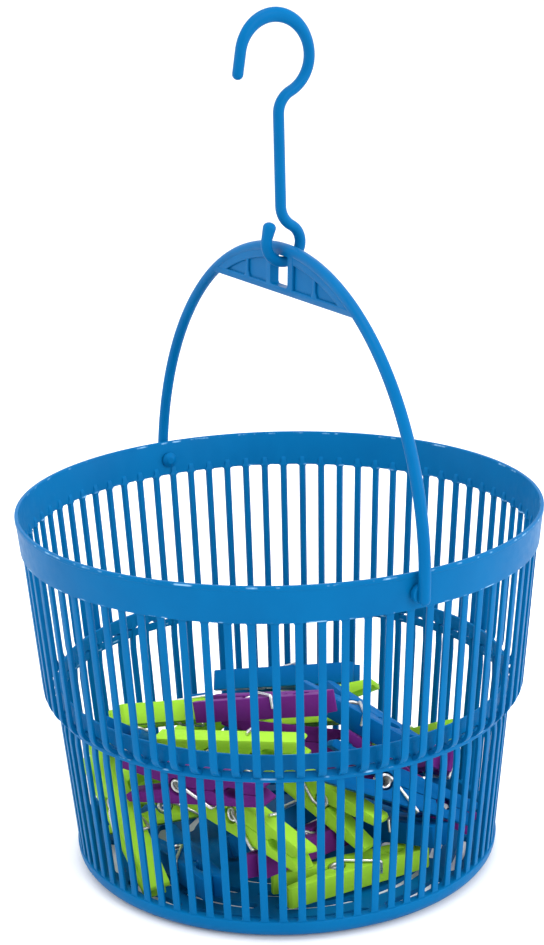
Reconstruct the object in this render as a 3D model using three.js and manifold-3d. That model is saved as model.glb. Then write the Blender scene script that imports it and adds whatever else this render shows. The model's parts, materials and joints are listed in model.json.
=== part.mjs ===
// Peg basket: a slatted plastic basket with a swing handle, a hang hook and a heap of spring pegs.
// Millimetres, +Z up. The origin is the middle of the base, and the handle's pivots lie along X.
import * as THREE from 'three';
import { mergeVertices } from 'three/addons/utils/BufferGeometryUtils.js';
import Module from 'manifold-3d';

// Running gap between neighbouring pieces
const clearance = 0.3;

// Basket: bars and rim
const barCount = 76;
const barWidth = 3.8;
const barDepth = 3.0;
const barRoot = 3.0;
const barPhase = -1.0;
const rimTop = 170;
const rimRadius = 120;
const rimHeight = 16.7;
const rimDraft = 1.8;
const rimWall = 5.9;
const rimChamfer = 0.8;
const rimUnderSlope = 1.7;
const barSetback = 0.9;

// Basket: shoulder, lower tier and base
const upperFootRadius = 112.0;
const bendTop = 92;
const ledgeHeight = 79.6;
const ledgeRise = 4.4;
const ledgeWidth = 2.0;
const shoulderTop = 93;
const shoulderWall = 2.2;
const bandProud = 0.7;
const bandDrop = 1.6;
const lowerTopRadius = 105.4;
const lowerFootRadius = 98.6;
const baseHeight = 9;
const baseRadius = 92.4;
const floorThickness = 2.4;
const floorSlotWidth = 5;
const floorRowRadius = 84;
const floorRowPitch = 12;
const floorRowSlots = [12, 10, 8, 6];
const floorSpoke = 8;

// Handle
const handleLean = 2.5;
const pivotDrop = 9;
const armGap = 1.4;
const rodDiameter = 5.2;
const armFoot = 1.9;
const collarDiameter = 8.4;
const pinDiameter = 6;
const pinHeadDiameter = 8.2;
const pinHeadLength = 2.2;
const pinPlay = 0.4;
const webDepth = 22.6;
const webThickness = 1.8;
const webRim = 4.4;
const chordRib = 3.4;
const webSlotWidth = 16;
const webSlotHeight = 14;
const webSlotFrame = 4.5;
const webRibOffset = 31;
const webRibWidth = 2.4;

// Hook
const hookWidth = 5.2;
const hookShankThickness = 4.9;
const hookCrownThickness = 6.6;
const hookThroat = 14.4;
const hookTipSplay = 10;
const hookTipLength = 12;
const hookCrownEnd = 65;
const hookNeckRadius = 10.5;
const hookShankLength = 40;
const hookCrankRadius = 10.3;
const hookCrankTurn = 60;
const hookEyeRadius = 8.5;
const hookEyeTurn = 16;
const hookEyeTipLength = 5;

// Peg: two levers and a wire spring whose coil is the pivot
const pegWidth = 10;
const jawLength = 46;
const tailLength = 29;
const tailAngle = 12;
const tailEnd = 3.6;
const jawNose = 5.4;
const mouthDepth = 4.4;
const mouthRise = 3.4;
const notchPlace = 30;
const notchLength = 9.4;
const notchDepth = 2.4;
const wireDiameter = 1.5;
const coilDiameter = 7.2;
const coilCurls = 3;
const coilPitch = 2.9;
const legPlace = 18.5;
const legWrap = 6;
const squeezeAngle = 14;

// Heap: where each peg is dropped, measured from the basket's middle and from the side that faces the viewer.
// Yaw is the way its jaws point, tilt how far they point down, and edge how far it lies over on its side.
const heapFacing = -28;
const heap = [
  { colour: 'green', reach: 70, around: 22, yaw: 115, tilt: 0, edge: 90 },
  { colour: 'purple', reach: 45, around: 13, yaw: -25, tilt: 3, edge: 90 },
  { colour: 'blue', reach: 45, around: 69, yaw: 30, tilt: 0, edge: 90 },
  { colour: 'blue', reach: 62, around: -55, yaw: 50, tilt: 0, edge: 90 },
  { colour: 'purple', reach: 66, around: 168, yaw: 0, tilt: 48, edge: 0 },
  { colour: 'blue', reach: 66, around: -146, yaw: 20, tilt: 48, edge: 0 },
  { colour: 'green', reach: 84, around: -60, yaw: 40, tilt: 46, edge: 30 },
  { colour: 'green', reach: 62, around: -20, yaw: 28, tilt: 34, edge: 0 },
  { colour: 'blue', reach: 33, around: -10, yaw: 115, tilt: 0, edge: 70 },
  { colour: 'green', reach: 40, around: 41, yaw: 250, tilt: -48, edge: 0 },
  { colour: 'purple', reach: 62, around: 56, yaw: 66, tilt: 24, edge: -10 },
  { colour: 'blue', reach: 64, around: 54, yaw: 70, tilt: 20, edge: -10 },
  { colour: 'purple', reach: 59, around: -46, yaw: 74, tilt: 15, edge: -8 },
  { colour: 'green', reach: 43, around: -48, yaw: 81, tilt: 5, edge: 10 },
  { colour: 'blue', reach: 40, around: 104, yaw: 257, tilt: -17, edge: 30 },
  { colour: 'green', reach: 58, around: -118, yaw: 101, tilt: -4, edge: 0 },
  { colour: 'green', reach: 50, around: -96, yaw: 78, tilt: 0, edge: -30 },
  { colour: 'purple', reach: 22, around: -165, yaw: 86, tilt: 3, edge: -30 },
  { colour: 'green', reach: 34, around: 135, yaw: 262, tilt: 0, edge: 35 },
];

const degree = Math.PI / 180;
const wasm = await Module();
wasm.setup();

// Materials
const plastic = { roughness: 0.38, metalness: 0 };
const colours = {
  blue: new THREE.MeshStandardMaterial({ name: 'blue_plastic', color: 0x0072bc, ...plastic }),
  green: new THREE.MeshStandardMaterial({ name: 'green_plastic', color: 0x93c832, ...plastic }),
  purple: new THREE.MeshStandardMaterial({ name: 'purple_plastic', color: 0x7d2b78, ...plastic }),
  steel: new THREE.MeshStandardMaterial({ name: 'spring_steel', color: 0xc9ccd0, roughness: 0.22, metalness: 1 }),
};

// Geometry helpers

// Turn a closed three.js geometry into a solid for joining and cutting
function solid(geometry) {
  const bare = geometry.clone();
  bare.deleteAttribute('normal');
  bare.deleteAttribute('uv');
  const merged = mergeVertices(bare, 1e-4);
  const corners = merged.index.array;
  const triangles = [];
  for (let i = 0; i < corners.length; i += 3) {
    const [a, b, c] = [corners[i], corners[i + 1], corners[i + 2]];
    if (a !== b && b !== c && c !== a) triangles.push(a, b, c);
  }
  const vertProperties = new Float32Array(merged.attributes.position.array);
  const triVerts = new Uint32Array(triangles);
  return new wasm.Manifold(new wasm.Mesh({ numProp: 3, vertProperties, triVerts }));
}

// Turn a solid back into a geometry with flat faces
function geometryOf(body) {
  const mesh = body.getMesh();
  const geometry = new THREE.BufferGeometry();
  geometry.setAttribute('position', new THREE.BufferAttribute(new Float32Array(mesh.vertProperties), 3));
  geometry.setIndex(new THREE.BufferAttribute(new Uint32Array(mesh.triVerts), 1));
  geometry.computeVertexNormals();
  return geometry;
}

function joined(bodies) {
  return bodies.reduce((whole, body) => whole.add(body));
}

// A profile of [radius, height] points turned about Z, with its flats centred on the bars
function revolved(profile, segments, phase = 0) {
  const points = profile.map(([radius, height]) => new THREE.Vector2(radius, height));
  if (profile[0][0] > 0) points.push(points[0].clone());
  const geometry = new THREE.LatheGeometry(points, segments);
  geometry.rotateX(Math.PI / 2);
  geometry.rotateZ(phase);
  return geometry;
}

// A flat outline in the radius and height plane, given width across it
function plate(outline, width) {
  const shape = new THREE.Shape(outline.map(([x, z]) => new THREE.Vector2(x, z)));
  const geometry = new THREE.ExtrudeGeometry(shape, { depth: width, bevelEnabled: false, steps: 1 });
  geometry.translate(0, 0, -width / 2);
  geometry.rotateX(Math.PI / 2);
  return geometry;
}

function block(x0, x1, y0, y1, z0, z1) {
  const geometry = new THREE.BoxGeometry(x1 - x0, y1 - y0, z1 - z0);
  geometry.translate((x0 + x1) / 2, (y0 + y1) / 2, (z0 + z1) / 2);
  return geometry;
}

// A middle line of [radius, height] points thickened to both sides
function strip(line, depth) {
  const side = (offset) => line.map((point, i) => {
    const before = line[Math.max(i - 1, 0)];
    const after = line[Math.min(i + 1, line.length - 1)];
    const along = new THREE.Vector2(after[0] - before[0], after[1] - before[1]).normalize();
    return [point[0] - along.y * offset, point[1] + along.x * offset];
  });
  return [...side(depth / 2), ...side(-depth / 2).reverse()];
}

// A tube through rings of points: each station has a centre, two section axes and two half sizes
function loft(stations, sides) {
  const positions = [];
  for (const { centre, first, second, a, b } of stations) {
    for (let k = 0; k < sides; k += 1) {
      const angle = (2 * Math.PI * k) / sides;
      const p = centre.clone();
      p.addScaledVector(first, a * Math.cos(angle));
      p.addScaledVector(second, b * Math.sin(angle));
      positions.push(p.x, p.y, p.z);
    }
  }
  const last = stations.length - 1;
  const index = [];
  for (let i = 0; i < last; i += 1) {
    for (let k = 0; k < sides; k += 1) {
      const next = (k + 1) % sides;
      const [p, q] = [i * sides + k, i * sides + next];
      index.push(p, q, q + sides, p, q + sides, p + sides);
    }
  }
  for (let k = 1; k < sides - 1; k += 1) {
    index.push(0, k + 1, k);
    index.push(last * sides, last * sides + k, last * sides + k + 1);
  }
  const geometry = new THREE.BufferGeometry();
  geometry.setAttribute('position', new THREE.Float32BufferAttribute(positions, 3));
  geometry.setIndex(index);
  geometry.computeVertexNormals();
  return geometry;
}

function named(name, geometry, material) {
  const mesh = new THREE.Mesh(geometry, material);
  mesh.name = name;
  return mesh;
}

// Basket
const pitch = (2 * Math.PI) / barCount;
const facetPhase = barPhase * degree - pitch / 2;
const rimBottom = rimTop - rimHeight;
const rimInner = rimRadius - rimWall;
const pivotHeight = rimTop - pivotDrop;
const rimFaceAtCollar = rimRadius - (rimDraft * (pivotDrop - collarDiameter / 2)) / rimHeight;
const upperTopRadius = rimRadius - rimDraft - barSetback;
const bandOuter = lowerTopRadius + bandProud;
const shoulderOuter = bandOuter - ledgeWidth;
const shoulderInner = shoulderOuter - shoulderWall;
const footOuter = lowerFootRadius + bandProud;
const footInner = lowerFootRadius - barDepth - bandProud;

function lowerRadius(height) {
  const share = (height - baseHeight) / (ledgeHeight - baseHeight);
  return lowerFootRadius + share * (lowerTopRadius - lowerFootRadius);
}

// The upper bar's middle line runs straight down from the rim, then curves in to the middle of the ledge
function upperBarLine() {
  const slope = (upperTopRadius - upperFootRadius) / (rimBottom - bendTop);
  const half = barDepth / 2;
  const start = new THREE.Vector2(upperFootRadius - half, bendTop);
  const ledge = new THREE.Vector2(bandOuter - ledgeWidth / 2, ledgeHeight + ledgeRise / 2);
  const drop = 0.55 * (bendTop - ledge.y);
  const control = new THREE.Vector2(start.x - slope * drop, bendTop - drop);
  const end = ledge.clone().add(ledge.clone().sub(control).setLength(shoulderWall / 2));
  const curve = new THREE.QuadraticBezierCurve(start, control, end).getPoints(2);
  const root = [upperTopRadius + slope * barRoot - half, rimBottom + barRoot];
  return [root, ...curve.map((p) => [p.x, p.y])];
}

function lowerBarLine() {
  const half = barDepth / 2;
  const top = ledgeHeight - bandDrop / 2;
  const bottom = baseHeight - barRoot;
  return [[lowerRadius(top) - half, top], [lowerRadius(bottom) - half, bottom]];
}

function makeBasket() {
  const rim = revolved([
    [rimRadius - rimDraft, rimBottom],
    [rimRadius, rimTop - rimChamfer],
    [rimRadius - rimChamfer, rimTop],
    [rimInner + rimChamfer, rimTop],
    [rimInner, rimTop - rimChamfer],
    [rimInner, rimBottom + rimUnderSlope],
  ], barCount, facetPhase);
  const shoulder = revolved([
    [bandOuter, ledgeHeight - bandDrop],
    [bandOuter, ledgeHeight],
    [shoulderOuter, ledgeHeight + ledgeRise],
    [shoulderOuter, shoulderTop],
    [shoulderInner, shoulderTop],
    [shoulderInner, ledgeHeight - bandDrop],
  ], barCount / 2, facetPhase);
  const corner = footOuter - baseRadius;
  const base = revolved([
    [0, 0],
    [baseRadius, 0],
    [baseRadius + 0.62 * corner, 0.2 * baseHeight],
    [baseRadius + 0.92 * corner, 0.52 * baseHeight],
    [footOuter, baseHeight],
    [footInner, baseHeight],
    [footInner - 0.3 * corner, 0.5 * baseHeight],
    [baseRadius, floorThickness],
    [0, floorThickness],
  ], barCount / 2, facetPhase);
  const bodies = [solid(rim), solid(shoulder), solid(base)];
  const upperBar = plate(strip(upperBarLine(), barDepth), barWidth);
  const lowerBar = plate(strip(lowerBarLine(), barDepth), barWidth);
  for (let k = 0; k < barCount; k += 1) {
    const turn = barPhase * degree + k * pitch;
    bodies.push(solid(upperBar.clone().rotateZ(turn)));
    bodies.push(solid(lowerBar.clone().rotateZ(turn)));
  }
  let basket = joined(bodies);
  floorRowSlots.forEach((count, row) => {
    const radius = floorRowRadius - row * floorRowPitch;
    const length = (2 * Math.PI * radius) / count - floorSpoke;
    const half = floorSlotWidth / 2;
    const cutter = block(radius - half, radius + half, -length / 2, length / 2, -1, floorThickness + 1);
    for (let k = 0; k < count; k += 1) {
      basket = basket.subtract(solid(cutter.clone().rotateZ((2 * Math.PI * (k + 0.5)) / count)));
    }
  });
  const hole = new THREE.CylinderGeometry(pinDiameter / 2 + pinPlay, pinDiameter / 2 + pinPlay, 3 * rimWall, 16);
  hole.rotateZ(Math.PI / 2);
  for (const side of [-1, 1]) {
    basket = basket.subtract(solid(hole.clone().translate(side * (rimRadius - rimWall / 2), 0, pivotHeight)));
  }
  return geometryOf(basket);
}

// Handle, in its own frame: pivots on X at height 0, arch in the XZ plane
const archRadius = rimRadius + armGap + rodDiameter / 2;
const chordHeight = archRadius + rodDiameter / 2 - webDepth;

class ArchCurve extends THREE.Curve {
  getPoint(share, target = new THREE.Vector3()) {
    const angle = Math.PI * (1 - share);
    return target.set(archRadius * Math.cos(angle), 0, archRadius * Math.sin(angle));
  }
}

function makeHandle() {
  const section = new THREE.Shape().absarc(0, 0, rodDiameter / 2, 0, 2 * Math.PI, false);
  const arch = new THREE.ExtrudeGeometry(section, { extrudePath: new ArchCurve(), steps: 44, curveSegments: 4 });
  const start = Math.asin(chordHeight / archRadius);
  const panel = new THREE.Shape().absarc(0, 0, archRadius, start, Math.PI - start, false);
  const web = new THREE.ExtrudeGeometry(panel, { depth: webThickness, bevelEnabled: false, curveSegments: 8 });
  web.translate(0, 0, -webThickness / 2);
  web.rotateX(Math.PI / 2);
  const half = webRim / 2;
  const chordMiddle = chordHeight + chordRib / 2;
  const chordReach = Math.sqrt(archRadius ** 2 - chordMiddle ** 2);
  const chord = block(-chordReach, chordReach, -half, half, chordHeight, chordHeight + chordRib);
  const frameReach = webSlotWidth / 2 + webSlotFrame;
  const frameTop = Math.sqrt(archRadius ** 2 - frameReach ** 2);
  const bodies = [arch, web, chord, block(-frameReach, frameReach, -half, half, chordHeight, frameTop)];
  const ribTop = Math.sqrt(archRadius ** 2 - webRibOffset ** 2);
  for (const side of [-1, 1]) {
    const middle = side * webRibOffset;
    bodies.push(block(middle - webRibWidth / 2, middle + webRibWidth / 2, -half, half, chordHeight, ribTop));
    bodies.push(pivotPin().rotateY(side * Math.PI / 2));
    const foot = new THREE.CapsuleGeometry(rodDiameter / 2, 2 * armFoot, 3, 8);
    bodies.push(foot.rotateX(Math.PI / 2).translate(side * archRadius, 0, 0));
  }
  const slotTop = archRadius - rodDiameter / 2;
  const slot = block(-webSlotWidth / 2, webSlotWidth / 2, -rodDiameter, rodDiameter, slotTop - webSlotHeight, slotTop);
  return geometryOf(joined(bodies.map(solid)).subtract(solid(slot)));
}

// Collar, pin and snap head turned about Z, to be laid along X
function pivotPin() {
  const collarOuter = archRadius - rodDiameter / 4;
  const collarInner = rimFaceAtCollar + clearance;
  const headOuter = rimInner * Math.cos(pitch / 2) - clearance - 0.1;
  const headInner = headOuter - pinHeadLength;
  const pin = pinDiameter / 2;
  return revolved([
    [0, headInner],
    [pin, headInner],
    [pinHeadDiameter / 2, headOuter],
    [pin, headOuter],
    [pin, collarInner],
    [collarDiameter / 2, collarInner],
    [collarDiameter / 2, collarOuter],
    [0, collarOuter],
  ], 10);
}

// Hook: one rod in the plane across the handle, hung round the arch's top
const lean = handleLean * degree;
const archTop = new THREE.Vector3(0, archRadius * Math.sin(lean), pivotHeight + archRadius * Math.cos(lean));

function makeHook() {
  const eyeInner = hookEyeRadius - hookShankThickness / 2;
  const eyeY = archTop.y;
  const seatHalf = webRim / 2;
  const seatDrop = rodDiameter / 2 + seatHalf * Math.sin(lean) + clearance;
  const eyeZ = archTop.z - seatDrop + Math.sqrt(eyeInner ** 2 - seatHalf ** 2);
  const crank = hookCrankTurn * degree;
  const shankY = eyeY + (hookEyeRadius + hookCrankRadius) * Math.cos(crank) - hookCrankRadius;
  const shankFoot = eyeZ + (hookEyeRadius + hookCrankRadius) * Math.sin(crank);
  const shankHead = shankFoot + hookShankLength;
  const crownRadius = hookThroat + hookShankThickness / 2;
  const end = hookCrownEnd * degree;
  const crownY = shankY + hookNeckRadius - (crownRadius + hookNeckRadius) * Math.cos(end);
  const crownZ = shankHead + (crownRadius + hookNeckRadius) * Math.sin(end);
  const splay = hookTipSplay * degree;
  const plane = [];
  const add = (y, z, heading, swell = 0, shrink = 1) => plane.push({ y, z, heading, swell, shrink });
  const rounded = [[0.97, 0.34], [0.71, 0.72], [0.3, 0.95]];
  const half = hookShankThickness / 2;
  // tip and crown
  const tipHeading = new THREE.Vector2(Math.sin(splay), Math.cos(splay));
  const crownStart = [crownY - crownRadius * Math.cos(splay), crownZ + crownRadius * Math.sin(splay)];
  const tip = [crownStart[0] - tipHeading.x * hookTipLength, crownStart[1] - tipHeading.y * hookTipLength];
  for (const [back, size] of rounded) {
    add(tip[0] + tipHeading.x * half * (1 - back), tip[1] + tipHeading.y * half * (1 - back), tipHeading, 0, size);
  }
  add(tip[0] + tipHeading.x * half, tip[1] + tipHeading.y * half, tipHeading);
  const crownSteps = 14;
  for (let i = 0; i <= crownSteps; i += 1) {
    const turned = Math.PI - splay - ((Math.PI - splay + end) * i) / crownSteps;
    const heading = new THREE.Vector2(Math.sin(turned), -Math.cos(turned));
    const swell = Math.max(Math.sin(turned), 0) ** 2;
    add(crownY + crownRadius * Math.cos(turned), crownZ + crownRadius * Math.sin(turned), heading, swell);
  }
  // neck into the shank
  const neckY = shankY + hookNeckRadius;
  const neckSteps = 4;
  for (let i = 1; i <= neckSteps; i += 1) {
    const turned = Math.PI - end + (end * i) / neckSteps;
    const heading = new THREE.Vector2(-Math.sin(turned), Math.cos(turned));
    add(neckY + hookNeckRadius * Math.cos(turned), shankHead + hookNeckRadius * Math.sin(turned), heading);
  }
  // crank and eye
  const crankY = shankY + hookCrankRadius;
  const crankSteps = 4;
  for (let i = 0; i <= crankSteps; i += 1) {
    const turned = Math.PI + (crank * i) / crankSteps;
    const heading = new THREE.Vector2(-Math.sin(turned), Math.cos(turned));
    add(crankY + hookCrankRadius * Math.cos(turned), shankFoot + hookCrankRadius * Math.sin(turned), heading);
  }
  const eyeSteps = 12;
  const eyeSweep = Math.PI + crank + hookEyeTurn * degree;
  for (let i = 1; i <= eyeSteps; i += 1) {
    const turned = crank - (eyeSweep * i) / eyeSteps;
    const heading = new THREE.Vector2(Math.sin(turned), -Math.cos(turned));
    add(eyeY + hookEyeRadius * Math.cos(turned), eyeZ + hookEyeRadius * Math.sin(turned), heading);
  }
  const last = plane[plane.length - 1];
  const eyeTip = [last.y + last.heading.x * hookEyeTipLength, last.z + last.heading.y * hookEyeTipLength];
  add(eyeTip[0] - last.heading.x * half, eyeTip[1] - last.heading.y * half, last.heading);
  for (const [back, size] of [...rounded].reverse()) {
    const short = half * (1 - back);
    add(eyeTip[0] - last.heading.x * short, eyeTip[1] - last.heading.y * short, last.heading, 0, size);
  }
  const stations = plane.map(({ y, z, heading, swell, shrink }) => {
    const thickness = hookShankThickness + swell * (hookCrownThickness - hookShankThickness);
    const outwards = new THREE.Vector3(0, -heading.y, heading.x);
    const grown = (thickness - hookShankThickness) / 2;
    const centre = new THREE.Vector3(0, y, z).addScaledVector(outwards, grown);
    const [a, b] = [(hookWidth / 2) * shrink, (thickness / 2) * shrink];
    return { centre, first: new THREE.Vector3(-1, 0, 0), second: outwards, a, b };
  });
  return loft(stations, 8);
}

// Peg, in its own frame: the coil's middle at the origin, jaws towards +X, lever_b on the +Z side
const faceHeight = clearance / 2;
const coilSeat = coilDiameter / 2 + 2 * clearance;
const tailSlope = Math.tan(tailAngle * degree);
const tailTop = faceHeight + tailLength * tailSlope + tailEnd;
const tipRound = 1.2;

// A lever's outer edge is one straight line from its tail to its nose
function outerEdge(x) {
  return tailTop + ((x + tailLength) / (tailLength + jawLength)) * (jawNose - tailTop);
}

function arcPoints(x, z, reach, rise, from, to, steps) {
  const points = [];
  for (let i = 0; i <= steps; i += 1) {
    const angle = (from + ((to - from) * i) / steps) * degree;
    points.push([x + reach * Math.cos(angle), z + rise * Math.sin(angle)]);
  }
  return points;
}

// The points that the lever's outline has in common with its convex hull
function mouthPoints() {
  return [[jawLength, mouthRise], [jawLength - mouthDepth, faceHeight]];
}

function outerPoints() {
  return [
    [-tailLength, faceHeight + tailLength * tailSlope],
    [-tailLength, tailTop - tipRound],
    [-tailLength + tipRound, outerEdge(-tailLength + tipRound)],
    [jawLength - tipRound, outerEdge(jawLength - tipRound)],
    [jawLength, jawNose - tipRound],
  ];
}

function leverOutline() {
  const seatStart = Math.asin(faceHeight / coilSeat) / degree;
  const seatEnd = 180 - tailAngle - seatStart;
  return [
    ...mouthPoints(),
    ...arcPoints(notchPlace, faceHeight, notchLength / 2, notchDepth, 0, 180, 4),
    ...arcPoints(0, 0, coilSeat, coilSeat, seatStart, seatEnd, 4),
    ...outerPoints(),
  ];
}

function makeLever(side) {
  const outline = leverOutline().map(([x, z]) => [x, side * z]);
  return plate(outline, pegWidth);
}

// Wire spring: a leg from lever_a's outer face, the coil, and a leg to lever_b's outer face
const wire = wireDiameter / 2;
const coilRadius = coilDiameter / 2 - wire;
const legSide = pegWidth / 2 + clearance + wire;
const legEnd = new THREE.Vector2(legPlace, outerEdge(legPlace - wire) + 2 * clearance + wire);

const leave = legEnd.angle() - Math.acos(coilRadius / legEnd.length());
const coilLeave = new THREE.Vector2(coilRadius * Math.cos(leave), coilRadius * Math.sin(leave));

function springPath() {
  const total = 2 * Math.PI * coilCurls + 2 * leave;
  const steps = 8 * coilCurls;
  const length = coilPitch * coilCurls;
  const coil = [];
  for (let i = 0; i <= steps; i += 1) {
    const angle = -leave + (total * i) / steps;
    coil.push(new THREE.Vector3(coilRadius * Math.cos(angle), (i / steps - 0.5) * length, coilRadius * Math.sin(angle)));
  }
  const leg = (side) => {
    const start = coil[side > 0 ? steps : 0];
    const foot = new THREE.Vector3(legEnd.x, side * legSide, side * legEnd.y);
    const out = new THREE.Vector3().lerpVectors(start, foot, 0.12);
    out.y = side * legSide;
    const corner = new THREE.Vector3().lerpVectors(start, foot, 0.93);
    corner.y = side * legSide;
    const bend = new THREE.Vector3(legEnd.x, side * (legSide - wire), side * legEnd.y);
    const end = new THREE.Vector3(legEnd.x, side * (legSide - legWrap), side * legEnd.y);
    return [out, corner, bend, end];
  };
  return [...leg(-1).reverse(), ...coil, ...leg(1)];
}

// Section axes carried along the path without twist
function wireStations(path) {
  const stations = [];
  let first = new THREE.Vector3(0, 0, 1);
  path.forEach((centre, i) => {
    const before = path[Math.max(i - 1, 0)];
    const after = path[Math.min(i + 1, path.length - 1)];
    const along = after.clone().sub(before).normalize();
    first = first.clone().addScaledVector(along, -first.dot(along)).normalize();
    const second = along.clone().cross(first);
    stations.push({ centre, first, second, a: wire, b: wire });
  });
  return stations;
}

function leastSelfGap(path) {
  let least = Infinity;
  const apart = 4;
  for (let i = 0; i < path.length; i += 1) {
    for (let j = i + apart; j < path.length; j += 1) {
      least = Math.min(least, path[i].distanceTo(path[j]) - wireDiameter);
    }
  }
  return least;
}

// Heap: each peg comes straight down and stops a clearance above what is under it

// A convex outline with width, as corners, face directions and edge directions
function prism(outline, y0, y1, turn = 0) {
  const [c, s] = [Math.cos(turn * degree), Math.sin(turn * degree)];
  const flat = outline.map(([x, z]) => [x * c - z * s, x * s + z * c]);
  const corners = flat.flatMap(([x, z]) => [new THREE.Vector3(x, y0, z), new THREE.Vector3(x, y1, z)]);
  const edges = [new THREE.Vector3(0, 1, 0)];
  const faces = [new THREE.Vector3(0, 1, 0)];
  flat.forEach(([x, z], i) => {
    const [nx, nz] = flat[(i + 1) % flat.length];
    const edge = new THREE.Vector3(nx - x, 0, nz - z).normalize();
    edges.push(edge);
    faces.push(new THREE.Vector3(edge.z, 0, -edge.x));
  });
  return { corners, edges, faces };
}

function box(x0, x1, y0, y1, z0, z1) {
  return prism([[x0, z0], [x1, z0], [x1, z1], [x0, z1]], y0, y1);
}

// The peg as convex pieces, with each spring leg as wide as the wire or as the coil
function pegPrisms(legWidth) {
  const half = pegWidth / 2;
  const hull = [...mouthPoints(), [-faceHeight / tailSlope, faceHeight], ...outerPoints()];
  const lower = hull.map(([x, z]) => [x, -z]);
  const coil = coilDiameter / 2;
  const top = legEnd.y + wire;
  const legs = [-1, 1].flatMap((side) => {
    const outer = side * (legSide + wire);
    const inner = side * (pegWidth / 2);
    const wrap = side * (legSide - legWrap);
    const [y0, y1] = [Math.min(outer, inner), Math.max(outer, inner)];
    const [w0, w1] = [Math.min(outer, wrap), Math.max(outer, wrap)];
    const [t0, t1] = side > 0 ? [top - wireDiameter, top] : [-top, wireDiameter - top];
    const from = coilLeave.clone().setY(side * coilLeave.y);
    const to = legEnd.clone().setY(side * legEnd.y);
    const across = to.clone().sub(from).setLength(legWidth / 2).rotateAround(new THREE.Vector2(), Math.PI / 2);
    const slant = [from.clone().sub(across), to.clone().sub(across), to.clone().add(across), from.clone().add(across)];
    return [prism(slant.map((p) => [p.x, p.y]), y0, y1), box(legPlace - wire, legPlace + wire, w0, w1, t0, t1)];
  });
  const still = [prism(lower, -half, half), prism(hull, -half, half), box(-coil, coil, -legSide, legSide, -coil, coil), ...legs];
  const moved = [0.5, 1].map((share) => prism(hull, -half, half, share * squeezeAngle));
  return [...still.map((p) => ({ ...p, still: true })), ...moved.map((p) => ({ ...p, still: false }))];
}

function turned(piece, turn) {
  const carry = (list) => list.map((v) => v.clone().applyQuaternion(turn));
  return { corners: carry(piece.corners), edges: carry(piece.edges), faces: carry(piece.faces), still: piece.still };
}

function span(corners, axis) {
  let low = Infinity;
  let high = -Infinity;
  for (const corner of corners) {
    const d = corner.dot(axis);
    if (d < low) low = d;
    if (d > high) high = d;
  }
  return [low, high];
}

// How high the moving prism has to stay to be a clearance above the resting one
function heightOver(moving, resting) {
  let low = -Infinity;
  let high = Infinity;
  const axes = [...moving.faces, ...resting.faces];
  for (const a of moving.edges) {
    for (const b of resting.edges) {
      const cross = a.clone().cross(b);
      if (cross.lengthSq() > 1e-6) axes.push(cross.normalize());
    }
  }
  for (const axis of axes) {
    const [m0, m1] = span(moving.corners, axis);
    const [r0, r1] = span(resting.corners, axis);
    const [from, to] = [r0 - clearance - m1, r1 + clearance - m0];
    if (Math.abs(axis.z) < 1e-9) {
      if (from >= 0 || to <= 0) return -Infinity;
    } else {
      low = Math.max(low, Math.min(from / axis.z, to / axis.z));
      high = Math.min(high, Math.max(from / axis.z, to / axis.z));
    }
    if (low >= high) return -Infinity;
  }
  return high;
}

const alongX = new THREE.Vector3(1, 0, 0);
const alongY = new THREE.Vector3(0, 1, 0);

// Small changes of turn and place that a peg may take to lie lower
const turnSteps = [0, -16, 16].flatMap((yaw) => [0, -8, 8, -16, 16].flatMap((tilt) => (
  [0, -14, 14].map((rock) => [yaw, tilt, rock])
)));
const placeSteps = [0, -9, 9].flatMap((x) => [0, -9, 9].map((y) => [x, y]));
const lastPlaces = [[0, 0], [-4, 0], [4, 0], [0, -4], [0, 4]];
// What each degree of turn and each millimetre of place costs, in millimetres of height
const turnCost = 0.1;
const placeCost = 0.2;
const lastTurns = [0, -5, 5].flatMap((yaw) => [0, -2, 2, -4, 4, -6, 6, -9, 9].flatMap((tilt) => (
  [0, -3, 3, -6, 6, -9, 9].map((rock) => [yaw, tilt, rock])
)));

// The basket's inside as [radius, height] pairs: a corner at a radius stays above that height
const facetShare = Math.cos(pitch);
const insideProfile = [
  [baseRadius * facetShare - floorThickness, floorThickness + clearance],
  [footInner * facetShare - clearance, baseHeight + clearance],
  [shoulderInner * facetShare - clearance, 0.84 * ledgeHeight],
];

function heightInside(radius) {
  const [flat, foot, top] = insideProfile;
  if (radius <= flat[0]) return flat[1];
  const [a, b] = radius <= foot[0] ? [flat, foot] : [foot, top];
  if (radius > top[0]) return Infinity;
  return a[1] + ((radius - a[0]) / (b[0] - a[0])) * (b[1] - a[1]);
}

function beside(corners, x, y, bounds) {
  const [x0, x1] = span(corners, alongX);
  const [y0, y1] = span(corners, alongY);
  return x1 + x < bounds[0] || x0 + x > bounds[1] || y1 + y < bounds[2] || y0 + y > bounds[3];
}

// The height at which the pieces come to rest, or nothing where that is over the ceiling
function restHeight(pieces, x, y, settled, ceiling) {
  let stillHeight = -Infinity;
  let height = -Infinity;
  for (const piece of pieces) {
    for (const corner of piece.corners) {
      const needed = heightInside(Math.hypot(corner.x + x, corner.y + y)) - corner.z;
      height = Math.max(height, needed);
      if (piece.still) stillHeight = Math.max(stillHeight, needed);
    }
    if (height >= ceiling) return null;
  }
  for (const other of settled) {
    for (const piece of pieces) {
      if (beside(piece.corners, x, y, other.bounds)) continue;
      const shifted = { ...piece, corners: piece.corners.map((c) => new THREE.Vector3(c.x + x, c.y + y, c.z)) };
      for (const resting of other.pieces) {
        const needed = heightOver(shifted, resting);
        height = Math.max(height, needed);
        if (piece.still && resting.still) stillHeight = Math.max(stillHeight, needed);
      }
      if (height >= ceiling) return null;
    }
  }
  return { height, touches: height - stillHeight < clearance / 2 };
}

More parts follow.
